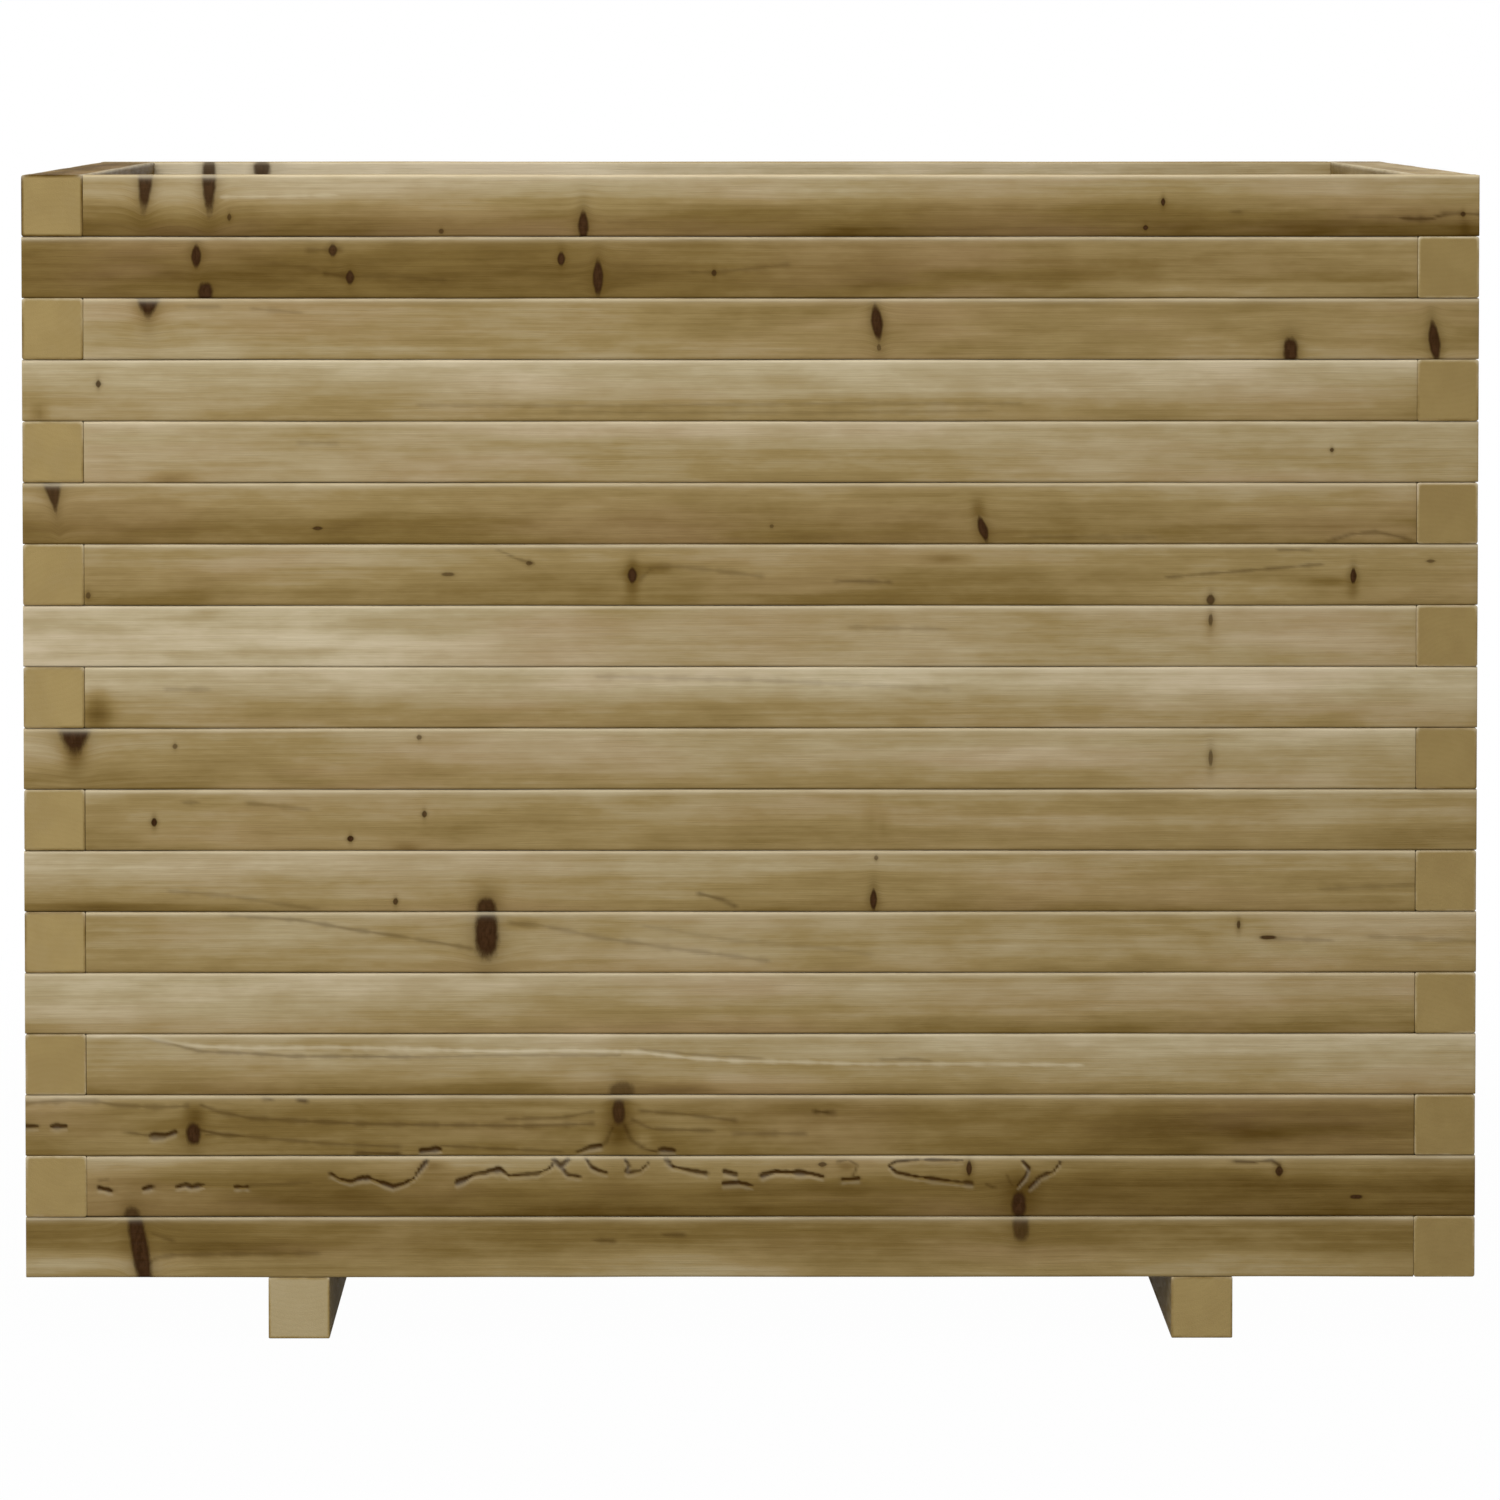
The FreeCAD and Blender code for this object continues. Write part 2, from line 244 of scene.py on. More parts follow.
FRONT_MARKS = {
    1: [
        Knot(148, 177, 8, 37, 0.95, -0.3, 0.3), Knot(211, 177, 8, 39, 0.95, 0.0, 0.35),
        Patch(179, 205, 20, 12, 0.08), Patch(180, 232, 45, 5, -0.12), Knot(583.5, 226, 6, 17),
        Knot(442, 231, 3, 3, 0.7), Knot(231, 217, 2.5, 4, 0.7), Knot(1161, 202, 2.5, 4.5),
        Knot(1143.5, 227.5, 3, 3), Knot(1460, 214, 3, 3, 0.8), Patch(1462, 226, 5, 12, -0.10),
        pale(1.5, 0.35, (223, 197), (338, 195)), dark(2.0, 0.25, (608, 222), (660, 222)),
        dark(2.2, 0.4, (1227, 212), (1240, 212)), dark(1.8, 0.35, (1350, 217), (1385, 217), (1400, 218)),
        dark(2.4, 0.8, (1400, 218), (1412, 219), (1428, 219), (1440, 214)),
        dark(1.9, 0.6, (1440, 214), (1455, 213), (1476, 214)),
    ],
    2: [
        Knot(198, 256, 5.5, 13), Knot(207, 292, 8, 11), Knot(334, 250, 5, 7, 0.9),
        Knot(351, 277, 5, 8, 0.95), Knot(561.5, 258.5, 4.5, 8), Knot(598, 277.5, 6, 20),
        Knot(713.6, 272.5, 3, 4, 0.8), dark(2.4, 0.45, (309, 250), (340, 249)),
        dark(2.4, 0.5, (325, 273), (350, 276)), dark(2.4, 0.30, (357, 276), (400, 276), (446, 280)),
        dark(2.2, 0.22, (271, 263), (319, 269)), dark(2.4, 0.30, (690, 272), (716, 272), (787, 264)),
        Patch(1220, 287, 190, 7, 0.12), Patch(870, 283, 40, 8, -0.06),
    ],
    3: [
        Knot(150, 298, 13, 20, 1.0, 0.0, 0.6), Patch(150, 314, 15, 8, -0.16),
        Knot(876, 322, 6.5, 20, 1.0, 0.3), Knot(878, 347, 2.5, 4, 0.6), Knot(1288.6, 350, 8, 14),
        Knot(1432, 341, 6.5, 23, 1.0, 0.4), Patch(200, 304, 100, 9, -0.12), Patch(220, 347, 110, 9, 0.10),
        Patch(400, 349, 100, 6, 0.10), dark(2.2, 0.25, (191, 306), (220, 306)),
        dark(2.2, 0.25, (255, 308), (300, 312)),
    ],
    4: [
        Knot(100, 383, 3, 4, 0.8), dark(2.0, 0.22, (420, 404), (620, 405), (900, 402), (1020, 403)),
        dark(2.0, 0.20, (560, 411), (800, 412), (990, 410)), Patch(41, 412, 8, 9, -0.2),
    ],
    5: [
        Patch(170, 477, 24, 6, -0.2), Knot(1330, 449, 2.5, 2.5, 0.8),
        dark(2.2, 0.22, (300, 442), (335, 442)),
    ],
    6: [
        Knot(53.5, 483, 10, 31, 0.9, 0.4, 0.85), Knot(318, 527, 6, 2.2, 0.8),
        Patch(342, 525, 26, 7, -0.12), Knot(982, 528, 5.5, 14, 1.0, 0.7), Patch(978, 506, 7, 10, -0.14),
        Patch(1000, 533, 20, 8, -0.10), Knot(771, 525, 2.5, 2.5, 0.5),
        dark(2.0, 0.5, (1328, 540), (1350, 533), (1375, 531), (1395, 535), (1411, 540)),
        dark(2.4, 0.25, (1032, 536), (1156, 536)),
    ],
    7: [
        Knot(89, 594, 3, 4, 0.6), Knot(448, 573, 7, 2, 0.6), Patch(200, 590, 24, 14, -0.12),
        dark(1.4, 0.5, (500, 549), (515, 557), (533, 562)), Knot(529, 562, 4, 2.5, 0.6),
        Knot(632, 574, 5.5, 9), Patch(632, 580, 7, 20, -0.20), Patch(658, 566, 26, 6, -0.16),
        dark(2.6, 0.30, (640, 578), (652, 566), (680, 565), (720, 570), (760, 575)),
        dark(2.0, 0.5, (838, 580), (852, 580), (888, 581)), Patch(945, 558, 24, 5, -0.2),
        dark(1.4, 0.6, (1277, 548.5), (1306, 548.5)), dark(1.6, 0.5, (1166, 576), (1322, 563)),
        Knot(1352, 575, 3.5, 9), Patch(1328, 580, 26, 5, -0.16), Patch(1351, 590, 7, 10, -0.12),
        Knot(1429, 560, 6, 1.8, 0.6), Knot(1209.5, 598.6, 5, 6, 0.8),
    ],
    8: [
        Patch(207, 611, 16, 6, -0.14), Patch(300, 650, 60, 6, -0.10), Knot(1209.5, 619, 2.5, 8, 0.65),
        Patch(1209, 626, 8, 14, -0.08), Patch(180, 655, 130, 8, -0.06),
        dark(2.2, 0.3, (851, 626), (946, 628)),
    ],
    9: [
        dark(2.4, 0.25, (166, 688), (207, 688)), dark(2.4, 0.22, (596, 675), (760, 679), (946, 688)),
        Patch(98, 708, 14, 20, -0.3),
    ],
    10: [
        Knot(75, 725, 18, 31, 1.0, 0.0, 0.45), Patch(75, 752, 11, 15, -0.30), Knot(175, 745, 3, 3, 0.6),
        Knot(419, 736, 3, 3, 0.6), Knot(1210, 757, 2.5, 10.5, 0.6),
    ],
    11: [
        Knot(154, 821, 3.5, 5), dark(2.4, 0.3, (249, 802), (306, 808)),
        dark(2.2, 0.35, (185, 801), (198, 801)), Knot(350, 837.6, 4, 3.5), Knot(424, 813, 3, 4, 0.8),
        Patch(405, 846, 14, 5, -0.2), Patch(871, 815, 8, 16, -0.10), Patch(884, 822, 5, 13, -0.08),
    ],
    12: [
        dark(2.4, 0.25, (170, 890), (230, 895), (313, 908)), Patch(100, 906, 80, 5, -0.25),
        Knot(395, 900.5, 3, 4, 0.8), Knot(486, 909, 11, 13, 0.95), Patch(486, 896, 18, 12, -0.14),
        dark(2.2, 0.6, (700, 893), (722, 899), (736, 906)), Knot(873, 899, 4, 12),
        Knot(875.6, 857, 2.5, 3, 0.6), dark(2.4, 0.25, (1319, 889), (1413, 884)),
    ],
    13: [
        Knot(486, 933, 13, 27), Patch(520, 922, 16, 7, -0.14),
        dark(2.0, 0.42, (228, 914), (298, 919), (348, 928), (415, 938), (472, 948)),
        dark(2.5, 0.30, (507, 922), (543, 925), (600, 937), (667, 947), (767, 960)),
        dark(2.5, 0.16, (643, 925), (733, 940), (833, 948), (870, 954)), Knot(1238.5, 924, 2, 6, 0.8),
        Knot(1268, 937, 9, 2.2, 0.9), dark(2.2, 0.3, (1276, 938), (1330, 940)),
        dark(2.4, 0.25, (1367, 936), (1475, 941)),
    ],
    14: [
        Patch(486, 971, 10, 6, -0.16), Patch(210, 1010, 150, 22, 0.06),
    ],
    15: [
       
        # The pale lines paint the highlight along a ridge of raised fibres, and the dark lines just beside
        # them its shadow.
        pale(1.9, 0.5, (95, 1036), (125, 1032), (160, 1040), (200, 1046),
             (250, 1048), (330, 1047), (420, 1049)),
        pale(1.7, 0.6, (420, 1049), (500, 1051), (570, 1050), (640, 1052), (690, 1058), (740, 1061)),
        pale(1.5, 0.5, (740, 1061), (800, 1062), (860, 1064), (960, 1064), (1080, 1065)),
        dark(1.8, 0.45, (140, 1036), (200, 1051), (250, 1053), (290, 1056), (350, 1056), (420, 1057)),
        dark(1.6, 0.30, (420, 1057), (500, 1055), (620, 1055)),
        dark(1.6, 0.30, (640, 1049), (700, 1055), (760, 1058)),
        dark(2.0, 0.35, (880, 1060), (910, 1059), (930, 1061)), Patch(420, 1050, 12, 3, 0.08),
        Knot(621, 1093, 14, 12, 0.6), Patch(675, 1090, 45, 5, -0.25), Patch(1060, 1082, 400, 13, 0.10),
    ],
    16: [
        dark(2.4, 0.45, (25, 1103), (65, 1100), (95, 1101), (115, 1105), (155, 1107), (186, 1106)),
        dark(2.4, 0.5, (200, 1105), (215, 1111), (248, 1118), (300, 1121), (365, 1124)),
        dark(2.2, 0.5, (365, 1124), (432, 1125), (520, 1126), (592, 1124)),
        crack(2.0, 0.8, (26, 1126), (36, 1126)), crack(1.8, 0.8, (50, 1126), (65, 1126)),
        dark(2.0, 0.5, (125, 1132), (150, 1136)), crack(2.6, 0.9, (150, 1136), (163, 1136), (174, 1132)),
        dark(2.0, 0.4, (205, 1135), (225, 1134), (250, 1137), (330, 1144), (400, 1147)),
        dark(1.8, 0.45, (505, 1119), (560, 1118), (592, 1112)), Patch(560, 1112, 38, 4, 0.14),
        Patch(550, 1122, 45, 2.5, 0.10), Patch(672, 1119, 38, 4, 0.12),
        dark(2.0, 0.45, (640, 1111), (690, 1115), (735, 1121)),
        dark(2.0, 0.45, (632, 1120), (650, 1129), (712, 1131)), Patch(675, 1127, 40, 3, 0.10),
        Patch(642, 1140, 9, 7, 0.12), Patch(592, 1140, 10, 6, 0.10),
        dark(2.0, 0.6, (624, 1126), (630, 1140), (645, 1150), (660, 1152)),
        dark(2.0, 0.6, (612, 1128), (606, 1142), (594, 1148)),
        crack(2.0, 0.95, (577, 1152), (588, 1148), (599, 1146)),
        crack(2.0, 0.9, (660, 1150), (674, 1151)), dark(1.8, 0.9, (650, 1151), (655, 1152)),
        crack(2.2, 0.9, (420, 1151), (440, 1149)), dark(1.8, 0.5, (440, 1146), (520, 1150), (560, 1152)),
        Knot(192, 1134, 8, 12), Patch(194, 1116, 9, 11, -0.24),
        dark(2.2, 0.7, (198, 1130), (222, 1135), (240, 1136)), dark(1.8, 0.7, (357, 1153), (400, 1154)),
        dark(2.4, 0.8, (265, 1098), (272, 1100)), dark(2.4, 0.9, (298, 1100), (306, 1101)),
        Knot(618, 1112, 7, 14, 0.9), Patch(618, 1122, 12, 26, -0.30), Patch(850, 1110, 120, 12, -0.12),
        dark(2.4, 0.4, (736, 1134), (803, 1134)), dark(2.6, 0.8, (816, 1112), (830, 1113)),
        Patch(1240, 1126, 170, 22, -0.15),
    ],
    17: [
        crack(2.4, 0.9, (98, 1188), (110, 1191)), dark(2.0, 0.4, (98, 1181), (106, 1180)),
        crack(2.2, 0.8, (142, 1189), (150, 1187)),
        crack(1.7, 0.95, (175, 1187), (184, 1185), (190, 1187), (202, 1185)),
        crack(1.7, 0.9, (234, 1187), (246, 1187)), dark(1.4, 0.3, (248, 1186), (308, 1183)),
        crack(1.5, 0.75, (330, 1174), (338, 1179), (350, 1182), (362, 1177)),
        crack(1.8, 0.9, (358, 1179), (368, 1178), (378, 1182), (392, 1187)),
        crack(1.6, 0.75, (392, 1187), (402, 1184), (412, 1179), (416, 1173), (426, 1161)),
        Patch(432, 1166, 15, 5, -0.22),
        crack(2.0, 0.95, (455, 1183), (464, 1180), (472, 1175), (482, 1173)),
        crack(2.0, 0.95, (482, 1174), (490, 1171), (500, 1170), (508, 1176)),
        crack(1.5, 0.7, (508, 1176), (520, 1175), (537, 1174), (548, 1169), (554, 1162)),
        crack(2.0, 0.85, (553, 1160), (560, 1167), (567, 1160)),
        crack(1.6, 0.7, (561, 1168), (566, 1175), (580, 1177)),
        crack(1.5, 0.65, (585, 1159), (590, 1167), (598, 1171), (606, 1173)),
        crack(1.4, 0.55, (624, 1160), (628, 1166), (625, 1172)),
        crack(1.4, 0.55, (627, 1173), (640, 1171), (648, 1163)),
        crack(1.7, 0.8, (666, 1160), (672, 1167), (690, 1171), (706, 1174)),
        crack(1.9, 0.85, (724, 1172), (735, 1175)),
        crack(1.9, 0.7, (723, 1184), (738, 1183), (752, 1186)),
        crack(1.9, 0.95, (762, 1176), (775, 1172), (795, 1173), (810, 1174), (822, 1177)),
        Knot(822, 1165, 5, 2.8, 0.7), Patch(846, 1167, 9, 5, -0.2),
        crack(1.9, 0.8, (843, 1180), (858, 1179)),
        dark(1.5, 0.6, (838, 1162), (848, 1160), (857, 1166), (853, 1176)),
        crack(1.4, 0.55, (888, 1166), (896, 1162), (920, 1160), (962, 1161)),
        crack(1.5, 0.65, (888, 1166), (896, 1173), (915, 1177), (945, 1181), (972, 1184)),
        Knot(969, 1169, 3.2, 9, 0.95), dark(1.8, 0.6, (986, 1185), (993, 1188)), Knot(1019, 1206, 8, 15),
        Patch(1019, 1194, 17, 20, -0.18), Knot(130, 1222, 9.5, 16, 0.8),
        crack(1.8, 0.8, (1018, 1186), (1026, 1177), (1029, 1169), (1023, 1162)),
        crack(1.6, 0.7, (1030, 1188), (1041, 1177), (1054, 1172), (1060, 1163)),
        dark(1.2, 0.4, (1012, 1186), (1007, 1176)),
        dark(1.7, 0.8, (1233, 1162), (1255, 1163), (1272, 1161)),
        dark(1.8, 0.8, (1272, 1161), (1280, 1166)), Knot(1280, 1172, 4.5, 6, 0.95),
        Knot(1357, 1198, 7, 2.2, 0.95),
    ],
    18: [
        Knot(138, 1249, 10, 46, 1.0, 0.75), Patch(240, 1250, 110, 8, -0.15), Patch(80, 1265, 60, 6, 0.08),
        dark(2.2, 0.4, (146, 1266), (153, 1259), (170, 1256), (228, 1255), (315, 1254)),
        dark(1.8, 0.4, (150, 1234), (172, 1242)), dark(2.2, 0.5, (592, 1241), (612, 1242)),
        dark(2.2, 0.5, (663, 1236), (685, 1236)), Knot(1021, 1227, 9, 17, 0.75),
    ],
}

# A crack's pale lip, a painted highlight: how far below it, in pixels, and its share of the crack's
# strength
CRACK_LIP_PX, CRACK_LIP_SHARE = 4.0, 0.22
# How much stronger than its strength a line is painted, so the painted shade in a tear stays dark to its
# edges
MARK_GAIN = {"dark": 1.0, "crack": 2.3}
# Distance, in pixels, between the thicker places of a line, and the swell's middle, reach and limits
SWELL_PX, SWELL_MIDDLE, SWELL_REACH, SWELL_LIMITS = 34, 0.95, 0.5, (0.45, 1.5)
# Where a face's tones lie: shares of its height, and pixels of the photograph across it
TONES_DOWN, TONES_ACROSS = (0.08, 0.92), (100, 1400)
# Slow changes over a front face, as (amount, wavelength in pixels of the photograph)
FRONT_SWAY, FRONT_BANDS, FRONT_WARMTH = (0.02, 900), (0.015, 23), (0.25, 700)
# The same over the other pieces, with the wavelength in millimetres
PLAIN_SWAY, PLAIN_BANDS, PLAIN_WARMTH = (0.05, 500), (0.04, 42), (0.2, 400)
# Millimetres from one low spot of a planed face to the next
LOW_SPOT_LENGTH = 330

# Mesh places are rounded to this grid, so none lie too close together
GRID = 0.4 * MM
# Places across and along a screw's hollow
HOLLOW_STEP, HOLLOW_REACH = 0.8 * MM, 6.4 * MM
HOLLOW_RUN = np.arange(-HOLLOW_REACH, HOLLOW_REACH + GRID, HOLLOW_STEP)
# How far beside a knot's middle the mesh is close, on the front timbers and on the others
FRONT_KNOT_REACH, KNOT_REACH = 9 * MM, 10 * MM
# Mesh spacing along a crack, and how far it goes on beyond the crack's ends
CRACK_STEP, CRACK_BEYOND = 1.6 * MM, 3 * MM
# Marks fade out between these distances behind the face that carries them
FRONT_FADE, PLAIN_FADE = (9 * MM, 16 * MM), (8 * MM, 15 * MM)
# Mesh places across a bar's outer, upper, inner and lower face, and rings in its sawn ends
MESH = {
    "front": ((38, 2, 4, 2), 8),
    "front_rim": ((38, 16, 4, 2), 8),
    "wall": ((14, 2, 8, 2), 10),
    "wall_rim": ((14, 12, 8, 2), 10),
    "runner": ((16, 4, 16, 4), 12),
    "slat": ((4, 20, 4, 6), 4),
}
# First seed of the random draws for each kind of piece
SEEDS = {"front": 100, "back": 300, "left": 500, "right": 700, "runner": 901, "slat": 950}

# A knot's outline is |x|^power + |y|^power = 1
OVAL_POWER = 2.5
# A knot narrower than this is pointed above and below, by this share of its width
SMALL_KNOT, SMALL_KNOT_POINT = 4.2 * MM, 0.55
# Beyond this many half sizes from a knot, its own shape no longer matters
FAR_FROM_KNOT = 4.0
# How far the stained wood reaches beside a knot, and above and below it
HALO_ASIDE, HALO_UP = 2.8 * MM, 6.5 * MM
# A knot of at least this half height has the whole of it, and a lower one its share
HALO_FULL = 8.0 * MM
# Share of the way round a knot by which the grain gives way to it
GRAIN_GIVES_WAY = 0.3


def smooth_step(low, high, value):
    """0 below low, 1 above high and the cubic 3t^2 - 2t^3 between them."""
    t = np.clip((value - low) / (high - low), 0.0, 1.0)
    return t * t * (3.0 - 2.0 * t)


def wander(values, wavelength, rng, waves=5):
    """A smooth random curve of about +-1: a sum of sines of falling wavelength and random phase."""
    total = np.zeros_like(values)
    for i in range(waves):
        length = wavelength / (1.0 + 0.8 * i)
        total += np.sin(2 * math.pi * (values / length + rng.random())) / (1.0 + i)
    return total / 1.6


def flat_run(half, count, support, close=()):
    """Places across a flat from -half to half, evenly spaced, with one more beside each end.

    Round each place in close they lie close together, for a screw's hollow.
    """
    inner = half - 3 * support
    middle = np.linspace(-inner, inner, max(count, 2))
    if close:
        near = np.concatenate([place + HOLLOW_RUN for place in close])
        middle = np.unique(np.round(np.concatenate((middle, near[np.abs(near) < inner])) / GRID)) * GRID
    return np.concatenate(([-half, -half + support], middle, [half - support, half]))


def bar_section(half_out, half_up, radius, counts, close, edge_count=4, highlight_width=0.9 * MM):
    """The outline of a bar's section, counter-clockwise: four flats joined by quarter rounds.

    Flat i lies at right angles to flat i - 1, the first one facing outwards. On a round, the
    point is its middle plus radius times (cos t, sin t). Gives the places, the normals and the
    edge mask, a painted highlight broken up like wear: 1 on the two upper rounds and exp(-d)
    at d times the highlight width beside them.
    """
    places, normals, edges = [], [], []
    halves = (half_out, half_up)
    for i in range(4):
        turn = i * math.pi / 2
        towards = np.array((math.cos(turn), math.sin(turn)))
        aside = np.array((-towards[1], towards[0]))
        reach, spread = halves[i % 2], halves[1 - i % 2]
        run = flat_run(spread - radius, counts[i], min(0.4 * MM, spread / 16), close.get(i, ()))
        places.append(towards * reach + aside * run[:, None])
        normals.append(np.repeat(towards[None, :], len(run), axis=0))
        edges.append(np.exp(-(spread - radius - np.abs(run)) / highlight_width))
        angles = np.linspace(0, math.pi / 2, edge_count + 2)[1:-1]
        spokes = towards * np.cos(angles)[:, None] + aside * np.sin(angles)[:, None]
        places.append(towards * (reach - radius) + aside * (spread - radius) + spokes * radius)
        normals.append(spokes)
        edges.append(np.ones(len(angles)))
    places = np.concatenate(places)
    return places, np.concatenate(normals), np.concatenate(edges) * (places[:, 1] > 0)


def stations(length, step, ease, close=()):
    """Places along a bar: evenly spaced, three in each end's ease, and closer near some places.

    close holds (place, step, reach) for each of these.
    """
    ends = ease * (1 - np.cos(np.linspace(0, math.pi / 2, 4)))[:-1]
    inner = np.linspace(ease, length - ease, max(int(round((length - 2 * ease) / step)), 2) + 1)
    near = [np.arange(place - reach, place + reach, fine) for place, fine, reach in close]
    merged = np.unique(np.round(np.concatenate((inner, *near)) / GRID)) * GRID
    merged = merged[(merged > 2 * ease) & (merged < length - 2 * ease)]
    return np.concatenate((ends, [ease], merged, [length - ease], (length - ends)[::-1]))


class Bar:
    """A bar between two corners of its box: a section carried along a line and closed at both ends.

    A point is start + along * u + outwards * a + up * b, where (a, b) runs round the section.
    Near an end the section is drawn in by a quarter round, and the end itself is closed by the
    same outline shrunk towards its middle in rings, down to one point.
    """

    def __init__(self, low, high, outwards, radius, ease, counts, cap_rings, places_along, close):
        self.low, self.high = np.array(low, float), np.array(high, float)
        self.outwards = np.array(outwards, float)
        self.along = np.cross(self.outwards, UP)
        size = self.high - self.low
        self.length = abs(float(self.along @ size))
        self.half_out = abs(float(self.outwards @ size)) / 2
        self.half_up = size[2] / 2
        middle = (self.low + self.high) / 2
        self.start = middle - self.along * self.length / 2
        ring, normals, edges = bar_section(self.half_out, self.half_up, radius, counts, close)
        u = places_along
        from_end = np.minimum(u, self.length - u)
        short = np.clip(ease - from_end, 0, ease)
        draw_in = ease - np.sqrt(np.maximum(ease ** 2 - short ** 2, 0))
        side_a = ring[None, :, 0] - normals[None, :, 0] * draw_in[:, None]
        side_b = ring[None, :, 1] - normals[None, :, 1] * draw_in[:, None]
        side_u = np.repeat(u[:, None], len(ring), axis=1)
        shrink = (1 - np.linspace(0, 1, cap_rings + 2)[1:-1]) ** 0.9
        cap_a, cap_b = side_a[:1] * shrink[:, None], side_b[:1] * shrink[:, None]
        self.grid_a = np.concatenate((cap_a[::-1], side_a, cap_a))
        self.grid_b = np.concatenate((cap_b[::-1], side_b, cap_b))
        self.grid_u = np.concatenate((np.zeros_like(cap_a), side_u, np.full_like(cap_a, self.length)))
        is_cap = np.ones(len(self.grid_u), bool)
        is_cap[cap_rings:-cap_rings] = False
        self.cap = np.repeat(is_cap[:, None], len(ring), axis=1)
        self.normal_a = np.where(self.cap, 0, normals[None, :, 0])
        self.normal_b = np.where(self.cap, 0, normals[None, :, 1])
        self.edge = np.where(self.cap, 0, edges[None, :])
        self.depth = np.zeros_like(self.grid_u)

    def points(self):
        a = self.grid_a - self.normal_a * self.depth
        b = self.grid_b - self.normal_b * self.depth
        return (self.start + self.grid_u[..., None] * self.along
                + a[..., None] * self.outwards + b[..., None] * UP)

    def sink(self, depth):
        """Lowers the surface by depth, which never raises it, so the bar stays inside its box."""
        self.depth = self.depth + np.maximum(depth, 0)

    def mesh(self, name, layers):
        """The closed mesh: the grid's squares and a fan at each end. layers are per-point values."""
        rows, columns = self.grid_u.shape
        points = self.points().reshape(-1, 3)
        ends = np.array([points[:columns].mean(0), points[-columns:].mean(0)])
        row, column = np.meshgrid(np.arange(rows - 1), np.arange(columns), indexing="ij")
        following = (column + 1) % columns
        squares = np.stack((row * columns + column, row * columns + following,
                            (row + 1) * columns + following, (row + 1) * columns + column), -1)
        squares = squares.reshape(-1, 4)
        first, last = rows * columns, rows * columns + 1
        around = np.arange(columns)
        ahead = (around + 1) % columns
        low_fan = np.stack((ahead, around, np.full(columns, first)), -1)
        top = (rows - 1) * columns
        high_fan = np.stack((top + around, top + ahead, np.full(columns, last)), -1)
        mesh = mesh_from(name, np.concatenate((points, ends)), squares,
                         np.concatenate((low_fan, high_fan)))
        for layer, values in layers.items():
            flat = values.reshape(rows * columns, -1)
            both = np.array([flat[:columns].mean(0), flat[-columns:].mean(0)])
            add_layer(mesh, layer, np.concatenate((flat, both)))
        return mesh


def mesh_from(name, points, squares, triangles):
    """A mesh from arrays of points, four-cornered faces and three-cornered faces."""
    mesh = bpy.data.meshes.new(name)
    mesh.vertices.add(len(points))
    mesh.vertices.foreach_set("co", points.astype(np.float32).ravel())
    corners = np.concatenate((squares.ravel(), triangles.ravel())).astype(np.int32)
    starts = np.concatenate((np.arange(len(squares)) * 4,
                             len(squares) * 4 + np.arange(len(triangles)) * 3)).astype(np.int32)
    mesh.loops.add(len(corners))
    mesh.loops.foreach_set("vertex_index", corners)
    mesh.polygons.add(len(starts))
    mesh.polygons.foreach_set("loop_start", starts)
    mesh.update(calc_edges=True)
    mesh.validate()
    mesh.shade_smooth()
    return mesh


def add_layer(mesh, name, values):
    """Stores three values a point as a vector, or four as a colour."""
    if values.shape[1] == 3:
        layer, field = mesh.attributes.new(name, "FLOAT_VECTOR", "POINT"), "vector"
    else:
        layer, field = mesh.attributes.new(name, "FLOAT_COLOR", "POINT"), "color"
    layer.data.foreach_set(field, values.astype(np.float32).ravel())


def add_piece(name, mesh, material, *nodes, slot="green_treated_pine"):
    """Puts a finished mesh into the scene in place of the frame's nodes."""
    piece = bpy.data.objects.new(name, mesh)
    bpy.context.scene.collection.objects.link(piece)
    mesh.materials.append(material)
    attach(piece, "root")
    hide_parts(*nodes)
    return piece


